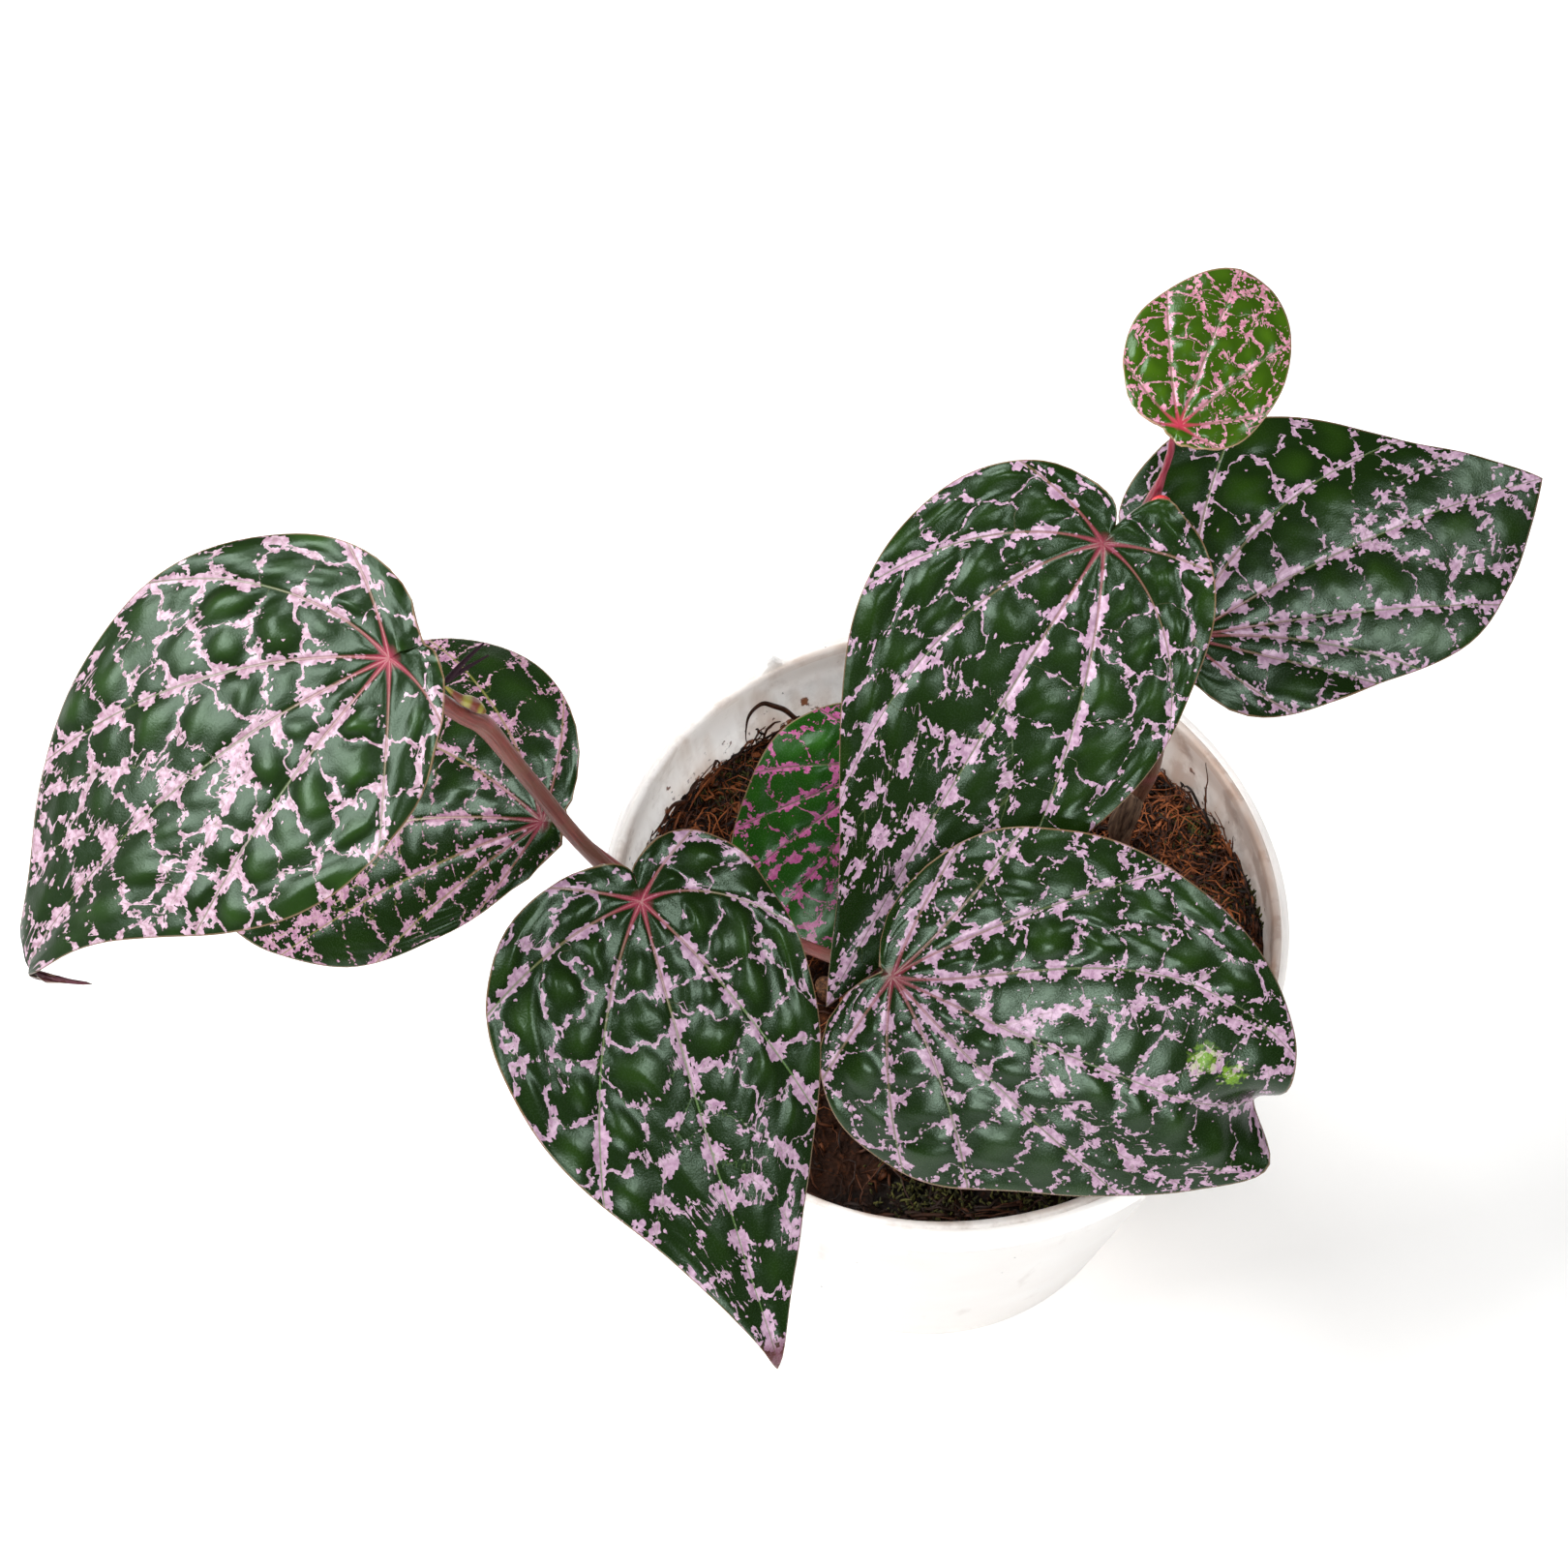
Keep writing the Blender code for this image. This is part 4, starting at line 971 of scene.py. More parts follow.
def blade_side(blade, name, hand, rings, spacing):
    """All flat data of one half of a blade: columns that fan out from the stalk by rings."""
    form = blade.form
    veins = [(0, 0, 0), *form["left_veins" if hand > 0 else "right_veins"], (180, 180, 0)]
    part = np.linspace(0, 1, rings + 1)[None, :]
    quick = part**VEIN_CURVE
    columns = []
    for sector, (near, far) in enumerate(zip(veins[:-1], veins[1:])):
        middle = float(blade.reach(np.array([(near[1] + far[1]) / 2.0]), hand)[0])
        count = max(6, round(math.radians(far[1] - near[1]) * middle / spacing))
        step = np.arange(count + 1) / count
        across = (step - 0.1 * np.sin(2 * math.pi * step))[:, None]
        start, end, bow = (a + (b - a) * across for a, b in zip(near, far))
        degrees = start + (end - start) * quick + bow * 4 * quick * (1 - quick)
        low = near[0] + (near[1] - near[0]) * quick + near[2] * 4 * quick * (1 - quick)
        high = far[0] + (far[1] - far[0]) * quick + far[2] * 4 * quick * (1 - quick)
        reach = blade.reach(end, hand)
        distance = reach * part
        width = distance * np.radians(high - low)
        turn = np.radians(degrees)
        rung = across * np.ones_like(part)
        signed, shade = sector_net(blade, name, hand, sector, rung, turn, width, distance)
        main = across * width
        if sector < len(veins) - 2:
            main = np.minimum((1 - across) * width, main)
        data = dict(
            u=distance * np.cos(turn), v=hand * distance * np.sin(turn), distance=distance,
            margin=reach * (1 - part), main=main, signed=signed, shade=shade,
            around=hand * np.radians(end) * np.ones_like(part), part=part * np.ones_like(across),
        )
        skip = 0 if sector == 0 else 1
        columns.append({key: value[skip:] for key, value in data.items()})
    return {key: np.concatenate([block[key] for block in columns]) for key in columns[0]}


def smoothed(values, passes):
    """A grid of values, averaged with its neighbours along columns and rings."""
    for _ in range(passes):
        columns = np.pad(values, ((1, 1), (0, 0)), "edge")
        values = (columns[2:] + columns[:-2] + 2 * values) / 4
        rings = np.pad(values, ((0, 0), (1, 1)), "edge")
        values = (rings[:, 2:] + rings[:, :-2] + 2 * values) / 4
    return values


def blade_field(name, rings, spacing):
    """Flat data of the whole blade, from the sinus on its right round to the sinus on its left."""
    blade = Blade(LEAVES[name])
    left = blade_side(blade, name, 1, rings, spacing)
    right = blade_side(blade, name, -1, rings, spacing)
    field = {key: np.concatenate([right[key][:0:-1], left[key]]) for key in left}
    branch = np.full(field["u"].shape, FAR_AWAY)
    for start, ray in blade.form["side_veins"]:
        signed = line_distance(field["u"], field["v"], side_vein_route(blade, start, ray))
        branch = np.where(np.abs(signed) < np.abs(branch), signed, branch)
    closer = np.abs(branch) < np.abs(field["signed"])
    field["signed"] = np.where(closer, branch, field["signed"])
    field["main"] = np.minimum(field["main"], np.abs(branch))
    net = np.abs(field["signed"])
    puff = min(PUFF_EDGE_MOST, PUFF_EDGE_PART * blade.form["cell"])
    fill = (1 - np.exp(-((field["main"] / puff) ** 2))) * (1 - np.exp(-((net / puff) ** 2)))
    fill = smoothed(fill, 3)
    field["fill"] = fill
    part = field["part"]
    rim = 1 - np.exp(-field["margin"] / RIM_EASE)
    lift = PUFF_GAIN * blade.form["quilt"] * fill * (0.75 + 0.5 * field["shade"]) * rim
    lift = smoothed(lift, 1)
    ripple = np.sin(WAVES_AROUND * field["around"] + 1) + 0.6 * np.sin(SMALL_WAVES_AROUND * field["around"])
    lift += blade.form["wave"] * part**4 * ripple
    uneven = UNEVEN_HEIGHT * smooth_noise(field["u"], field["v"], UNEVEN_SPREAD, 77, 2)
    lift += uneven * np.minimum(1, field["distance"] / 12)
    groove = GROOVE_SINK * np.exp(-((field["main"] / GROOVE_WIDE) ** 2)) * (1 - 0.7 * part)
    lift -= groove * np.minimum(1, field["distance"] / 5)
    field["place"] = blade.place(field["u"], field["v"], lift)
    main_rib = np.exp(-((field["main"] / RIB_HALF) ** 2)) * (1 - part) ** 0.8
    small_rib = SMALL_RIB * np.exp(-((net / SMALL_RIB_HALF) ** 2)) * (1 - part)
    field["rib"] = main_rib + small_rib
    return field


def blade_piece(name, rings, spacing):
    """A blade grown from a grid primitive whose lines are its fan of columns and rings."""
    field = blade_field(name, rings, spacing)
    columns, across = field["u"].shape
    bpy.ops.object.select_all(action="DESELECT")
    bpy.ops.mesh.primitive_grid_add(x_subdivisions=columns - 1, y_subdivisions=across - 1, size=2)
    piece = bpy.context.object
    piece.name = name + "_blade"
    mesh = piece.data
    mesh.name = piece.name
    grid = np.empty(len(mesh.vertices) * 3)
    mesh.vertices.foreach_get("co", grid)
    grid = grid.reshape(-1, 3)
    column = np.rint((grid[:, 0] + 1) / 2 * (columns - 1)).astype(int)
    ring = np.rint((grid[:, 1] + 1) / 2 * (across - 1)).astype(int)
    mesh.vertices.foreach_set("co", (field["place"][column, ring] * MM).ravel())
    layers = {
        "veins": ("main", "net", "signed"),
        "growth": ("margin", "distance", "fill"),
    }
    field["net"] = np.abs(field["signed"])
    for layer, keys in layers.items():
        values = np.stack([field[key][column, ring] for key in keys], axis=1).astype(np.float32)
        mesh.attributes.new(layer, "FLOAT_VECTOR", "POINT").data.foreach_set("vector", values.ravel())
    corners = np.empty(len(mesh.loops), int)
    mesh.loops.foreach_get("vertex_index", corners)
    flat = np.stack([field["u"][column, ring], field["v"][column, ring]], axis=1)[corners] / UV_TO_MM
    while mesh.uv_layers:
        mesh.uv_layers.remove(mesh.uv_layers[0])
    mesh.uv_layers.new(name="flat").data.foreach_set("uv", flat.astype(np.float32).ravel())
    thickness = BLADE_THICKNESS + (RIB_THICKNESS - BLADE_THICKNESS) * field["rib"][column, ring]
    group = piece.vertex_groups.new(name="thickness")
    for index, weight in enumerate(np.clip(thickness / RIB_THICKNESS, 0, 1)):
        group.add((index,), float(weight), "REPLACE")
    bpy.ops.object.mode_set(mode="EDIT")
    bpy.ops.mesh.select_all(action="SELECT")
    bpy.ops.mesh.remove_doubles(threshold=0.00002)
    bpy.ops.mesh.normals_make_consistent(inside=False)
    bpy.ops.object.mode_set(mode="OBJECT")
    normals = np.empty(len(mesh.polygons) * 3)
    mesh.polygons.foreach_get("normal", normals)
    if normals.reshape(-1, 3).sum(axis=0) @ Blade(LEAVES[name]).normal < 0:
        mesh.flip_normals()
    mesh.shade_smooth()
    thicken = piece.modifiers.new("thickness", "SOLIDIFY")
    thicken.thickness = RIB_THICKNESS * MM
    thicken.offset = -1.0
    thicken.vertex_group = "thickness"
    thicken.material_offset = 1
    thicken.use_even_offset = False
    bpy.ops.object.modifier_apply(modifier="thickness")
    piece.vertex_groups.clear()
    return piece


# A living blade seen from above: a waxy cuticle, grained every 0.4 mm, over a mosaic of areoles half a
# millimetre to a millimetre across. Close to the veins many areoles lack green and show pink, with stepped
# edges. The veins run as thin lines from crimson at the stalk to olive, and the margin is a thin pale line.
def blade_skin(name, look):
    material, tree, shader = new_material(name)
    length = look["length"]
    flat = add_node(tree, "UVMap", uv_map="flat")
    mm = add_node(tree, "VectorMath", {0: flat, "Scale": UV_TO_MM}, operation="SCALE")
    veins = add_node(tree, "Attribute", output="Vector", attribute_name="veins")
    main, net, signed = add_node(tree, "SeparateXYZ", (veins,), output=None)
    growth = add_node(tree, "Attribute", output="Vector", attribute_name="growth")
    margin, distance, fill = add_node(tree, "SeparateXYZ", (growth,), output=None)

    # distance to the small veins: sharp beside them, and without a jump further off
    thin = add_node(tree, "Math", (signed,), operation="ABSOLUTE")
    far_off = add_node(tree, "Math", (net, 1.6), operation="GREATER_THAN")
    small = add_node(tree, "Mix", {0: far_off, 2: thin, 3: net}, data_type="FLOAT")

    # areoles: their middles carry one value each, so that the patches get stepped edges
    inputs = {"Vector": mm, "Scale": 1.0 / look["areole"], "Randomness": 1.0}
    settings = {"voronoi_dimensions": "2D", "feature": "F1", "distance": "CHEBYCHEV"}
    middles = add_node(tree, "TexVoronoi", inputs, output="Position", **settings)
    own = add_node(tree, "SeparateColor", (middles.node.outputs["Color"],))
    inputs = {"Vector": middles, "Scale": 1.0 / look["blotch"], "Detail": 1.5, "Roughness": 0.5}
    blotch = add_node(tree, "TexNoise", inputs, noise_dimensions="2D")
    inputs = {"Vector": middles, "Scale": 2.4 / look["blotch"], "Detail": 1.0}
    fine_blotch = add_node(tree, "TexNoise", inputs, noise_dimensions="2D")
    off_main = add_node(tree, "MapRange", (main, 1.5, 5.0, 0.0, 0.9))
    near_rim = add_node(tree, "MapRange", (margin, 3.0, 8.0, 1.0, 0.0))
    off_main = add_node(tree, "Math", (off_main, near_rim), operation="MAXIMUM")
    blotch = add_node(tree, "Mix", {0: off_main, 2: blotch, 3: fine_blotch}, data_type="FLOAT")

    # patches: pulled towards the veins and the margin, and kept off the stalk
    by_main = add_node(tree, "MapRange", (main, 0.0, look["main_reach"], look["main_pull"], 0.0))
    by_net = add_node(tree, "MapRange", (small, 0.0, look["net_reach"], look["net_pull"], 0.0))
    by_margin = add_node(tree, "MapRange", (margin, 1.0, 7.0, look["rim_pull"], 0.0))
    by_stalk = add_node(tree, "MapRange", (distance, 2.0, look["bare_foot"], -0.6, 0.0))
    pull = add_node(tree, "Math", (by_main, by_net), operation="MAXIMUM")
    for more in (by_margin, by_stalk):
        pull = add_node(tree, "Math", (pull, more), operation="ADD")
    score = pull
    for value, power in ((blotch, look["blotch_power"]), (own, look["grain_power"])):
        score = add_node(tree, "Math", (value, power, score), operation="MULTIPLY_ADD")
    bar = look["bar"] + 0.5 * look["blotch_power"] + 0.5 * look["grain_power"]
    patch = add_node(tree, "MapRange", (score, bar - PATCH_EDGE, bar + PATCH_EDGE))

    # single pale cells scattered beside the patches
    inputs = {"Vector": mm, "Scale": 1.7 / look["areole"]}
    settings = {"voronoi_dimensions": "2D", "feature": "F1"}
    cells = add_node(tree, "TexVoronoi", inputs, output="Color", **settings)
    cell_draw = add_node(tree, "SeparateColor", (cells,))
    speck = add_node(tree, "Math", (pull, look["specks"], cell_draw), operation="MULTIPLY_ADD")
    speck = add_node(tree, "Math", (speck, 1.0), operation="GREATER_THAN")
    patch = add_node(tree, "Math", (patch, speck), operation="MAXIMUM")

    # green: painted shade, deep beside the veins, and a painted highlight, lighter on the crowns of the
    # quilting, in clouds of 11 mm
    cloud = add_node(tree, "TexNoise", {"Vector": mm, "Scale": 0.09, "Detail": 3.0}, noise_dimensions="2D")
    painted_crown_light = add_node(tree, "MapRange", (fill, 0.25, 0.95))
    painted_crown_light = add_node(tree, "Math", (painted_crown_light, cloud), operation="MULTIPLY")
    mottle = add_node(tree, "TexNoise", {"Vector": mm, "Scale": 0.8, "Detail": 3.0}, noise_dimensions="2D")
    mottle = add_node(tree, "MapRange", (mottle, 0.35, 0.65))
    age = add_node(tree, "MapRange", (distance, 4.0, 0.35 * length))
    green, pink, vein_colour = (
        add_node(tree, "Mix", {0: share, 6: look[one], 7: look[other]}, output=2, data_type="RGBA")
        for share, one, other in (
            (painted_crown_light, "deep", "green"), (mottle, "pink", "pale_pink"), (age, "young_vein", "old_vein"),
        )
    )

    # vein lines: the main ones up to 0.8 mm wide at the stalk, the small ones up to 0.3 mm
    line_width = add_node(tree, "MapRange", (distance, 0.0, length, 0.32, 0.09))
    main_line = add_node(tree, "Math", (main, line_width), operation="DIVIDE")
    main_line = add_node(tree, "MapRange", (main_line, 0.6, 1.3, 0.7, 0.0))
    net_line = add_node(tree, "MapRange", (small, 0.05, 0.16, 0.3, 0.0))
    off_stalk = add_node(tree, "MapRange", (distance, 0.1 * length, 0.25 * length))
    net_line = add_node(tree, "Math", (net_line, off_stalk), operation="MULTIPLY")
    lines = add_node(tree, "Math", (main_line, net_line), operation="MAXIMUM")

    # crimson flush round the stalk, which runs further out along the main veins
    flush_reach = add_node(tree, "MapRange", (main, 0.12, 0.6, 1.7 * look["flush"], 0.4 * look["flush"]))
    flush = add_node(tree, "Math", (distance, flush_reach), operation="DIVIDE")
    flush = add_node(tree, "MapRange", (flush, 0.15, 1.0, 0.8, 0.0))

    # the dry brown tip, and the thin pale margin
    along = add_node(tree, "SeparateXYZ", (mm,))
    tip = add_node(tree, "MapRange", (along, *look["tip"], 0.0, 0.9))
    rim = add_node(tree, "MapRange", (margin, 0.18, 0.5, 0.85, 0.0))

    # colours laid over the green one by one, where a scar is a brown dot in a yellow-green halo
    layers = [(patch, pink)]
    for scar_u, scar_v, scar_size in look["scars"]:
        scar = (mm, (scar_u, scar_v, 0.0))
        offset = add_node(tree, "VectorMath", scar, output="Value", operation="DISTANCE")
        offset = add_node(tree, "Math", (mottle, -2.2, offset), operation="MULTIPLY_ADD")
        halo = add_node(tree, "MapRange", (offset, 0.0, 3.6 * scar_size, 0.55, 0.0))
        dot = add_node(tree, "MapRange", (offset, -1.7, scar_size - 1.7, 0.9, 0.0))
        layers += [(halo, "#7ca62a"), (dot, "#5a4010")]
    layers += [(lines, vein_colour), (flush, look["crimson"]), (tip, "#54242c"), (rim, look["rim"])]
    base = green
    for share, colour in layers:
        base = add_node(tree, "Mix", {0: share, 6: base, 7: colour}, output=2, data_type="RGBA")

    # relief: leathery cuticle, small puffs of 4 mm between the finest veins, and the sunken vein lines
    cuticle = add_node(tree, "TexNoise", {"Vector": mm, "Scale": 2.4, "Detail": 2.0}, noise_dimensions="2D")
    inputs = {"Vector": mm, "Scale": 0.27, "Smoothness": 0.8}
    settings = {"voronoi_dimensions": "2D", "feature": "SMOOTH_F1"}
    puffs = add_node(tree, "TexVoronoi", inputs, output="Distance", **settings)
    relief = add_node(tree, "Math", (puffs, -0.2), operation="MULTIPLY")
    for value, power in ((cuticle, 0.05), (lines, -0.12)):
        relief = add_node(tree, "Math", (value, power, relief), operation="MULTIPLY_ADD")
    bump = add_node(tree, "Bump", {"Strength": 0.8, "Distance": 0.0006, "Height": relief})
    gloss = add_node(tree, "MapRange", (cuticle, 0.3, 0.7, look["gloss"], look["gloss"] + 0.07))
    tint = add_node(tree, "Mix", {0: patch, 6: "#cce8d4", 7: "#f6eef6"}, output=2, data_type="RGBA")
    fill_sockets(tree, shader, {
        "Base Color": base, "Normal": bump, "Roughness": gloss, "Specular Tint": tint, "IOR": 1.42,
    })
    return material


# The underside of a living blade: matt purple-red in clouds of 8 mm, and paler along the ribs.
def blade_back(name, colour, rib_colour):
    material, tree, shader = new_material(name)
    veins = add_node(tree, "Attribute", output="Vector", attribute_name="veins")
    main = add_node(tree, "SeparateXYZ", (veins,))
    place = add_node(tree, "TexCoord", output="Object")
    cloud = add_node(tree, "TexNoise", {"Vector": place, "Scale": 120.0, "Detail": 4.0})
    rib = add_node(tree, "MapRange", (main, 0.5, 1.6, 0.8, 0.0))
    toned = add_node(tree, "Mix", {0: cloud, 6: colour, 7: "#7d4a55"}, output=2, data_type="RGBA")
    ribbed = add_node(tree, "Mix", {0: rib, 6: toned, 7: rib_colour}, output=2, data_type="RGBA")
    bump = add_node(tree, "Bump", {"Strength": 0.4, "Distance": 0.0003, "Height": cloud})
    fill_sockets(tree, shader, {"Base Color": ribbed, "Normal": bump, "Roughness": 0.6})
    return material


DARK_LOOK = dict(
    areole=0.85, blotch=4.6, blotch_power=2.1, grain_power=0.3, bar=0.85, specks=0.02, bare_foot=12.0,
    main_reach=4.2, main_pull=1.03, net_reach=1.6, net_pull=1.02, rim_pull=0.15, scars=(), tip=(150.0, 160.0),
    deep="#0f2004", green="#26400e", pink="#93738a", pale_pink="#b295a9",
    flush=6.5, crimson="#742539", length=90.0, young_vein="#7c4646", old_vein="#545e38",
    rim="#7c6048", gloss=0.23,
)
LOOKS = {
    "leaf_far_left": dict(
        DARK_LOOK, main_reach=4.2, net_pull=1.12, net_reach=1.85, blotch_power=1.6, green="#33541c",
        pink="#90707f", pale_pink="#b59ba9", gloss=0.28, crimson="#8c2a44", tip=(97.0, 102.0),
    ),
    # leaf_under_left: its pinks are painted darker than the other blades', as shade
    "leaf_under_left": dict(
        DARK_LOOK, areole=0.6, blotch=3.2, main_reach=3.3, main_pull=1.08, net_pull=0.98, net_reach=1.2,
        specks=0.05, old_vein="#6f6e36", pink="#8a6279", pale_pink="#ac8799",
    ),
    "leaf_front": dict(
        DARK_LOOK, main_reach=4.0, net_pull=1.1, net_reach=1.6, crimson="#8c2a44", old_vein="#55703a",
        green="#2d4a14", tip=(86.0, 90.0),
    ),
    "leaf_centre": dict(DARK_LOOK, areole=0.8, main_pull=1.08, net_reach=1.5),
    "leaf_front_right": dict(
        DARK_LOOK, areole=0.65, blotch=3.8, net_pull=1.0, specks=0.05, bare_foot=7.0,
        scars=((64.5, 9.6, 0.7), (71.5, 8.2, 0.45)),
    ),
    "leaf_rear_right": dict(DARK_LOOK, blotch=3.6, main_pull=1.02, net_pull=1.02, green="#2b480c"),
    "leaf_young": dict(
        DARK_LOOK, areole=0.4, blotch=2.0, main_reach=2.1, net_reach=0.85, net_pull=1.06, deep="#2b4607",
        green="#4f7414", pink="#a8687e", pale_pink="#c28a9c", flush=3.2, crimson="#a82a44", bare_foot=4.0,
        length=34.0, rim="#94775a", gloss=0.17,
    ),
    "leaf_low": dict(
        DARK_LOOK, areole=0.55, blotch=2.8, main_reach=2.8, main_pull=1.05, net_pull=1.0, net_reach=1.2,
        deep="#1d480f", green="#3c7a20", pink="#a84a80", pale_pink="#c0689a", length=45.0,
    ),
}
dark_back = blade_back("purple-red leaf underside", "#4a1f2b", "#a5737a")
young_back = blade_back("red-green young leaf underside", "#6a3a38", "#b08a72")
for name, look in LOOKS.items():
    small_blade = name in ("leaf_young", "leaf_low")
    blade = blade_piece(name, 60 if small_blade else 98, 0.8 if small_blade else 1.18)
    blade.data.materials.append(blade_skin(name.replace("_", " ") + " cuticle", look))
    blade.data.materials.append(young_back if small_blade else dark_back)
    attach(blade, "root")
    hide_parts(name)

# Shoots: two living vines, each one piece with its leaf stalks. The left one leans left and forward, the
# right one stands. Both are round and woody at the foot, swell at their nodes, and end in red stalks.
STEM = 1.95
STALK = 1.4
YOUNG_STALK = 0.8
NODE = STEM * 1.25
STALK_LEAN = 50
STALK_LAST_STEPS = (3.0, 1.2, 0.0)
UNDER_BLADE = 0.75
REMESH = 0.4
AT_ONCE = 4000


def stalk_end(name, radius, lean_degrees=STALK_LEAN):
    """Last points of a leaf stalk, which comes from behind the blade's foot and ends on its underside."""
    blade = Blade(LEAVES[name])
    lean = math.radians(lean_degrees)
    backward = -blade.normal * math.cos(lean) - blade.along * math.sin(lean)
    end = blade.base - blade.normal * (UNDER_BLADE + radius * math.sin(lean))
    return [(*(end + backward * back), radius) for back in STALK_LAST_STEPS]


def frames(route):
    """Two sideways directions at every point of a route, carried along it without twisting."""
    along = np.gradient(route[:, :3], axis=0)
    along /= np.linalg.norm(along, axis=1, keepdims=True)
    side = np.cross(along[0], (0.3, 1.0, 0.2))
    sides = []
    for direction in along:
        side = side - direction * (side @ direction)
        side = side / np.linalg.norm(side)
        sides.append(side)
    sides = np.array(sides)
    return along, sides, np.cross(along, sides)


def tube_mesh(name, route, sides=16):
    """A closed round tube along a route in mm."""
    along, right, above = frames(route)
    angle = np.arange(sides) * 2 * math.pi / sides
    ring = right[:, None, :] * np.cos(angle)[None, :, None] + above[:, None, :] * np.sin(angle)[None, :, None]
    vertices = route[:, None, :3] + ring * route[:, None, 3:4]
    count = len(route)
    faces = [
        (i * sides + j, i * sides + (j + 1) % sides, (i + 1) * sides + (j + 1) % sides, (i + 1) * sides + j)
        for i in range(count - 1)
        for j in range(sides)
    ]
    faces.append(tuple(reversed(range(sides))))
    faces.append(tuple(range((count - 1) * sides, count * sides)))
    mesh = bpy.data.meshes.new(name)
    mesh.from_pydata(vertices.reshape(-1, 3) * MM, [], faces)
    piece = bpy.data.objects.new(name, mesh)
    scene.collection.objects.link(piece)
    return piece


def grown_piece(name, routes, voxel=REMESH):
    """One grown body from overlapping tubes, melted together so that the forks are rounded."""
    tubes = [tube_mesh(name, route) for route in routes]
    bpy.ops.object.select_all(action="DESELECT")
    for tube in tubes:
        tube.select_set(True)
    piece = tubes[0]
    bpy.context.view_layer.objects.active = piece
    if len(tubes) > 1:
        bpy.ops.object.join()
    piece.name = name
    melt = piece.modifiers.new("melt", "REMESH")
    melt.mode = "VOXEL"
    melt.voxel_size = voxel * MM
    bpy.ops.object.modifier_apply(modifier="melt")
    even = piece.modifiers.new("even", "SMOOTH")
    even.factor = 0.5
    even.iterations = 5
    bpy.ops.object.modifier_apply(modifier="even")
    return piece


def growth_marks(piece, routes, tints, node_places):
    """Gives every vertex its place across and along its stem, its tint and its distance from a node."""
    samples = np.concatenate([route[:, :3] for route in routes])
    gaps = [np.linalg.norm(np.diff(route[:, :3], axis=0), axis=1) for route in routes]
    along = np.concatenate([np.insert(gap.cumsum(), 0, 0) for gap in gaps])
    ramps = [np.linspace(*pair, len(route)) for route, pair in zip(routes, tints)]
    tint = np.clip(np.concatenate(ramps), 0, 1)
    across = [frames(route)[1:] for route in routes]
    right = np.concatenate([pair[0] for pair in across])
    above = np.concatenate([pair[1] for pair in across])
    nodes = np.array(node_places, float)
    count = len(piece.data.vertices)
    places = np.empty(count * 3)
    piece.data.vertices.foreach_get("co", places)
    places = places.reshape(-1, 3) / MM
    grain = np.empty((count, 3), np.float32)
    marks = np.empty((count, 3), np.float32)
    for start in range(0, count, AT_ONCE):
        part = places[start : start + AT_ONCE]
        nearest = np.argmin(np.linalg.norm(part[:, None] - samples[None], axis=2), axis=1)
        offset = part - samples[nearest]
        p = np.einsum("ij,ij->i", offset, right[nearest])
        q = np.einsum("ij,ij->i", offset, above[nearest])
        grain[start : start + AT_ONCE] = np.stack([p, q, along[nearest]], axis=1)
        node_gap = np.linalg.norm(part[:, None] - nodes[None], axis=2).min(axis=1)
        marks[start : start + AT_ONCE] = np.stack([tint[nearest], node_gap, part[:, 2]], axis=1)
    for layer, values in (("grain", grain), ("marks", marks)):
        piece.data.attributes.new(layer, "FLOAT_VECTOR", "POINT").data.foreach_set("vector", values.ravel())
    piece.data.shade_smooth()


left_main = [
    (-40.5, -12, 81.2, 2.15), (-40.5, -12, 95, 2.15), (-40.5, -12, 110, 2.15),
    (-42.5, -14, 128, STEM), (-46, -18, 150, NODE), (-50.5, -22, 161, STEM), (-56, -25, 171, NODE),
    (-65, -26.5, 182, STEM * 0.95), (-74, -23, 193.3, STEM * 0.87), (-81, -18.2, 203, STEM * 0.87),
    (-86.8, -14.2, 211.2, STEM * 0.9), (-91.2, -11.9, 218.8, STEM * 1.05), (-94.6, -13.6, 225.5, STEM * 0.95),
    (-98, -17.2, 237.1, STALK * 1.15),
    (-100.5, -21, 251, STALK), *stalk_end("leaf_far_left", STALK),
]
left_under = [
    (-60, -26, 176, STALK), (-66, -22.5, 179, STALK), (-71.5, -19.5, 182.5, STALK * 0.9),
    *stalk_end("leaf_under_left", STALK),
]
left_front = [
    (-55.5, -24.5, 170, STALK), (-57, -30, 180, STALK), (-58.5, -37, 194, STALK),
    *stalk_end("leaf_front", STALK),
]
left_right = [
    (-45.5, -17.5, 150, STALK), (-38.5, -21.2, 152.2, STALK), (-30.7, -24.9, 153, STALK),
    (-22.8, -31, 158, STALK), (-17.4, -34.7, 160.3, STALK), (-14.6, -36.2, 161.2, STALK),
    (-12.9, -37.2, 163.6, STALK), *stalk_end("leaf_front_right", STALK, 0),
]
right_main = [
    (41, 25.5, 81.5, 2.45), (41, 25.5, 94, 2.45), (41, 25.5, 109, 2.45),
    (42, 24.5, 123, STEM), (44, 24, 140, NODE), (44.8, 24.2, 152, STEM), (44.5, 24.4, 162, NODE * 0.95),
    (42, 26, 176, STEM * 0.95), (37, 29.5, 189, STEM * 0.9), (33.5, 34, 200, NODE * 0.85),
    (35, 38, 209, STEM * 0.7), (38, 40, 218, NODE * 0.6), (39.4, 40.5, 226, YOUNG_STALK),
    (40, 40, 234, YOUNG_STALK), *stalk_end("leaf_young", YOUNG_STALK),
]
right_low = [
    (43.8, 24, 138, STALK), (35, 26.5, 140, STALK), (22, 28, 142, STALK), (6, 27, 144, STALK),
    *stalk_end("leaf_low", STALK),
]
right_rear = [
    (44.5, 24.4, 162, STALK), (46.5, 23.5, 170, STALK), (47, 22.5, 180, STALK),
    *stalk_end("leaf_rear_right", STALK),
]
right_centre = [(33.6, 34, 200, STALK), (32.5, 35, 206, STALK), *stalk_end("leaf_centre", STALK)]

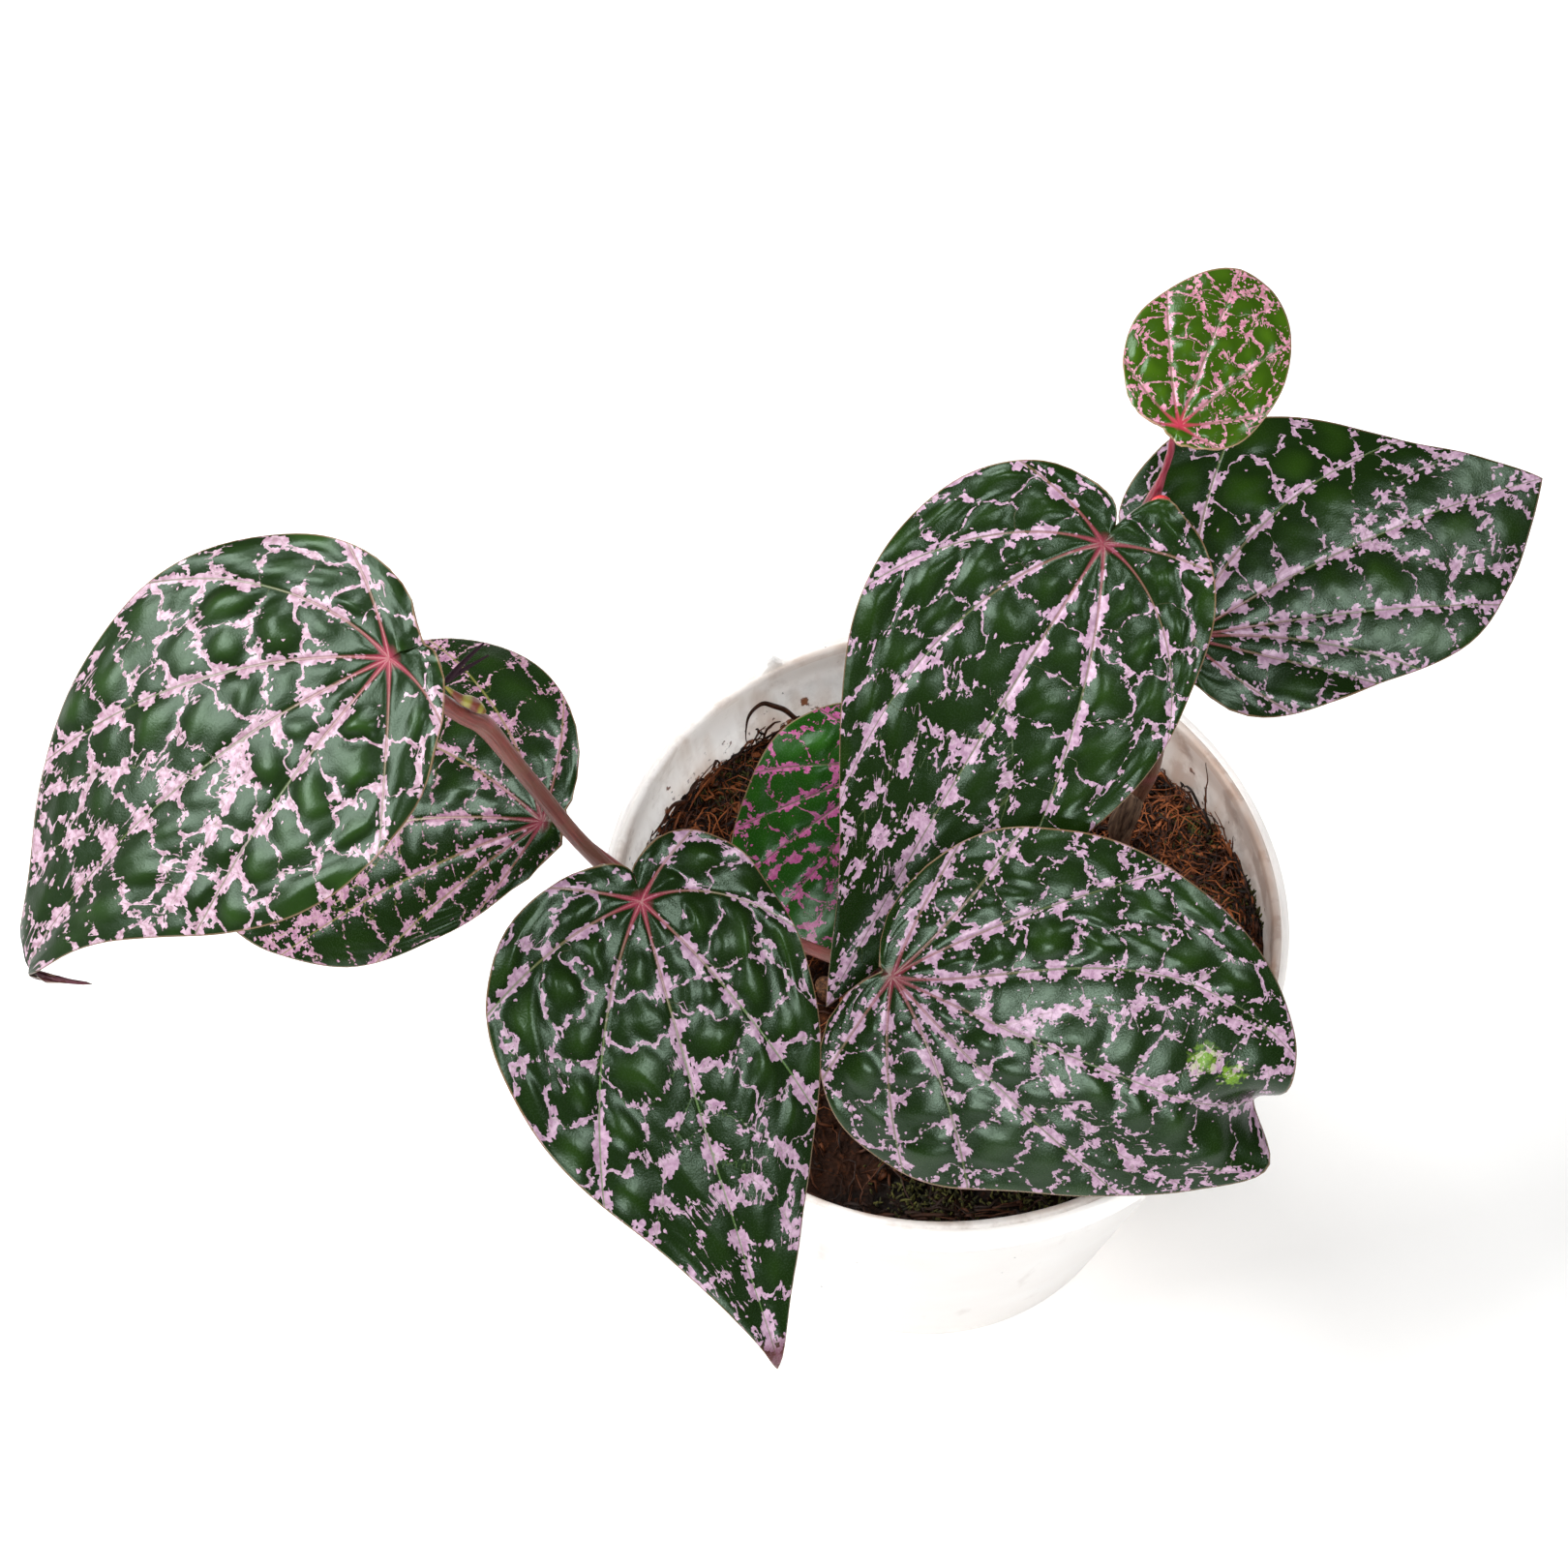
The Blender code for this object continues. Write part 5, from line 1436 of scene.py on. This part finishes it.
# Young stem: satin and red-brown with lengthwise streaks half a millimetre wide and blotches of 3 mm, dull
# and tan at the foot, and crimson in the youngest stalks. A pinkish ring marks each node.
stem_skin, tree, shader = new_material("young red-brown stem")
grain = add_node(tree, "Attribute", output="Vector", attribute_name="grain")
marks = add_node(tree, "Attribute", output="Vector", attribute_name="marks")
tint, node_gap, height = add_node(tree, "SeparateXYZ", (marks,), output=None)
stretched = add_node(tree, "Mapping", {"Vector": grain, "Scale": (1.0, 1.0, 0.07)})
streak = add_node(tree, "TexNoise", {"Vector": stretched, "Scale": 2.2, "Detail": 4.0})
streak = add_node(tree, "MapRange", (streak, 0.32, 0.68))
blotch = add_node(tree, "TexNoise", {"Vector": grain, "Scale": 0.35, "Detail": 3.0})
blotch = add_node(tree, "MapRange", (blotch, 0.4, 0.65))
ripe = add_node(tree, "Mix", {0: streak, 6: "#522c20", 7: "#7e4c3c"}, output=2, data_type="RGBA")
ripe = add_node(tree, "Mix", {0: blotch, 6: ripe, 7: "#664a34"}, output=2, data_type="RGBA")
red = add_node(tree, "Mix", {0: streak, 6: "#681426", 7: "#8e2c3e"}, output=2, data_type="RGBA")
dull = add_node(tree, "Mix", {0: streak, 6: "#4a2c22", 7: "#94745c"}, output=2, data_type="RGBA")
low = add_node(tree, "MapRange", (height, 116.0, 150.0, 0.8, 0.0))
ring = add_node(tree, "MapRange", (node_gap, 2.2, 2.9, 0.6, 0.0))
toned = ripe
for share, colour in ((tint, red), (low, dull), (ring, "#9a4f58")):
    toned = add_node(tree, "Mix", {0: share, 6: toned, 7: colour}, output=2, data_type="RGBA")
stem_bump = add_node(tree, "Bump", {"Strength": 0.5, "Distance": 0.00025, "Height": streak})
fill_sockets(tree, shader, {"Base Color": toned, "Normal": stem_bump, "Roughness": 0.42})

SHOOTS = {
    "shoot_left": (
        (left_main, left_under, left_front, left_right), ((0.1, 0.45), (0.5, 0.7), (0.6, 0.9), (0.3, 0.6)),
        ((-46, -18, 150), (-56, -25, 171), (-91.3, -10.9, 218.8)),
    ),
    "shoot_right": (
        (right_main, right_low, right_rear, right_centre), ((-0.7, 1.6), (0.3, 0.6), (0.3, 0.6), (0.5, 0.8)),
        ((44, 24, 140), (44.5, 24.4, 162), (33.5, 34, 200)),
    ),
}
for name, (limbs, tints, node_places) in SHOOTS.items():
    routes = [smooth_route(limb) for limb in limbs]
    shoot = grown_piece(name + "_stem", routes)
    growth_marks(shoot, routes, tints, node_places)
    shoot.data.materials.append(stem_skin)
    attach(shoot, "root")
    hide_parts(name)

# Dry sheath: the papery tan remains of an old leaf base, wrapped round the foot of the right shoot. It is
# dull, and its plies run lengthwise, 0.8 mm apart.
dry_routes = [
    smooth_route([
        (40.7, 25.2, 110, 2.2), (40.9, 24.9, 115, 2.6), (41.3, 24.3, 121, 2.9), (41.6, 24.2, 127, 2.8),
        (42.4, 24.3, 132, 2.3),
    ]),
    smooth_route([
        (39.0, 24.0, 112, 1.0), (38.8, 23.3, 118, 1.5), (39.4, 22.9, 125, 1.2), (40.4, 23.4, 131, 0.5),
    ]),
]
dry_sheath = grown_piece("dry_sheath", dry_routes, 0.28)
growth_marks(dry_sheath, dry_routes, ((0, 0), (0, 0)), ((41, 25, 100),))
papery, tree, shader = new_material("papery tan leaf base")
grain = add_node(tree, "Attribute", output="Vector", attribute_name="grain")
stretched = add_node(tree, "Mapping", {"Vector": grain, "Scale": (1.0, 1.0, 0.12)})
ply = add_node(tree, "TexNoise", {"Vector": stretched, "Scale": 1.3, "Detail": 5.0})
ply = add_node(tree, "MapRange", (ply, 0.35, 0.65))
toned = add_node(tree, "Mix", {0: ply, 6: "#3f2c20", 7: "#947760"}, output=2, data_type="RGBA")
ply_bump = add_node(tree, "Bump", {"Strength": 0.7, "Distance": 0.0005, "Height": ply})
fill_sockets(tree, shader, {"Base Color": toned, "Normal": ply_bump, "Roughness": 0.7})
dry_sheath.data.materials.append(papery)
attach(dry_sheath, "root")

# Bud and spurs: at the left shoot's last node, a small smooth yellow-green bud of two folded scales, banded
# with red every 5 to 7 mm, and beyond it two dry dull purple-black spurs.
bud_routes = [
    smooth_route([
        (-90.8, -11.8, 223.6, 0.5), (-91.7, -12.7, 226.7, 1.15), (-92.6, -13.8, 230.2, 1.25),
        (-94.3, -15, 233.6, 0.9), (-96.6, -15.2, 238, 0.3),
    ]),
    smooth_route([
        (-91.2, -12.2, 225, 0.6), (-91.7, -13.2, 228.5, 0.9), (-92.6, -14.6, 231.6, 0.75),
        (-94, -15.8, 234.4, 0.25),
    ]),
]
bud = grown_piece("side_bud_scales", bud_routes, 0.16)
growth_marks(bud, bud_routes, ((0, 0), (0, 0)), ((-90.8, -11.8, 223.6),))
bud_skin, tree, shader = new_material("yellow-green bud scales")
grain = add_node(tree, "Attribute", output="Vector", attribute_name="grain")
across, _, along = add_node(tree, "SeparateXYZ", (grain,), output=None)
place = add_node(tree, "TexCoord", output="Object")
cloud = add_node(tree, "TexNoise", {"Vector": place, "Scale": 700.0, "Detail": 3.0})
bands = cloud
for value, pace in ((along, 0.9), (across, 1.2)):
    bands = add_node(tree, "Math", (value, pace, bands), operation="MULTIPLY_ADD")
bands = add_node(tree, "Math", (bands, 2.8), operation="ADD")
bands = add_node(tree, "Math", (bands,), operation="SINE")
bands = add_node(tree, "MapRange", (bands, -0.9, 0.5, 0.0, 0.95))
toned = add_node(tree, "Mix", {0: bands, 6: "#8f8832", 7: "#6a221e"}, output=2, data_type="RGBA")
fill_sockets(tree, shader, {"Base Color": toned, "Roughness": 0.45})
bud.data.materials.append(bud_skin)
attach(bud, "root")
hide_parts("side_bud")

spur_foot = (-96.4, -14.7, 239.1, 0.6)
spur_routes = [
    smooth_route([spur_foot, (-92.7, -13.4, 243.9, 0.48), (-88.9, -11.6, 247.3, 0.22)]),
    smooth_route([spur_foot, (-92.7, -13.2, 241.1, 0.42), (-88.5, -10.8, 241.9, 0.2)]),
]
spurs = grown_piece("dry_spurs", spur_routes, 0.14)
growth_marks(spurs, spur_routes, ((0, 0), (0, 0)), (spur_foot[:3],))
spur_skin, tree, shader = new_material("dry purple-black spur")
place = add_node(tree, "TexCoord", output="Object")
cloud = add_node(tree, "TexNoise", {"Vector": place, "Scale": 900.0, "Detail": 3.0})
toned = add_node(tree, "Mix", {0: cloud, 6: "#12060e", 7: "#2c1420"}, output=2, data_type="RGBA")
fill_sockets(tree, shader, {"Base Color": toned, "Roughness": 0.7, "Specular IOR Level": 0.15})
spurs.data.materials.append(spur_skin)
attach(spurs, "root")
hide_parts("bud_spurs")

# Sheath: a soft bright red stipule, folded round the right shoot's top node and shed when its leaf is
# grown. It is smooth with a satin sheen, and its red varies in clouds a little over 1 mm across.
sheath_routes = [
    smooth_route([
        (37.4, 37.9, 219.6, 0.45), (38.4, 38, 221.6, 0.62), (39.8, 38.2, 222, 0.55), (41.2, 38.4, 220.9, 0.3),
    ])
]
sheath = grown_piece("red_sheath", sheath_routes, 0.12)
growth_marks(sheath, sheath_routes, ((0, 0),), ((37.4, 37.9, 219.6),))
sheath_skin, tree, shader = new_material("bright red young sheath")
place = add_node(tree, "TexCoord", output="Object")
cloud = add_node(tree, "TexNoise", {"Vector": place, "Scale": 800.0, "Detail": 3.0})
toned = add_node(tree, "Mix", {0: cloud, 6: "#b3141f", 7: "#dc4148"}, output=2, data_type="RGBA")
fill_sockets(tree, shader, {"Base Color": toned, "Roughness": 0.38})
sheath.data.materials.append(sheath_skin)
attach(sheath, "root")
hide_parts("young_sheath")

# Stub: the dead foot of an older shoot, dry brown wood that stands in a hole of its own in the soil and
# leans at its top. Its wrinkles run lengthwise, 0.6 mm apart.
stub_routes = [
    smooth_route([(-25, -11, 89.4, 2.4), (-25, -11, 97, 2.4), (-25, -11, 105, 2.4), (-26, -12.5, 110, 1.92)])
]
stub = grown_piece("old_stub", stub_routes)
growth_marks(stub, stub_routes, ((0, 0),), ((-25, -11, 40),))
stub_skin, tree, shader = new_material("dead brown stem")
grain = add_node(tree, "Attribute", output="Vector", attribute_name="grain")
stretched = add_node(tree, "Mapping", {"Vector": grain, "Scale": (1.0, 1.0, 0.2)})
wrinkle = add_node(tree, "TexNoise", {"Vector": stretched, "Scale": 1.6, "Detail": 5.0})
wrinkle = add_node(tree, "MapRange", (wrinkle, 0.35, 0.65))
toned = add_node(tree, "Mix", {0: wrinkle, 6: "#2b160c", 7: "#7a5030"}, output=2, data_type="RGBA")
stub_bump = add_node(tree, "Bump", {"Strength": 0.8, "Distance": 0.0005, "Height": wrinkle})
fill_sockets(tree, shader, {"Base Color": toned, "Normal": stub_bump, "Roughness": 0.75})
stub.data.materials.append(stub_skin)
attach(stub, "root")
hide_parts("dead_stub")
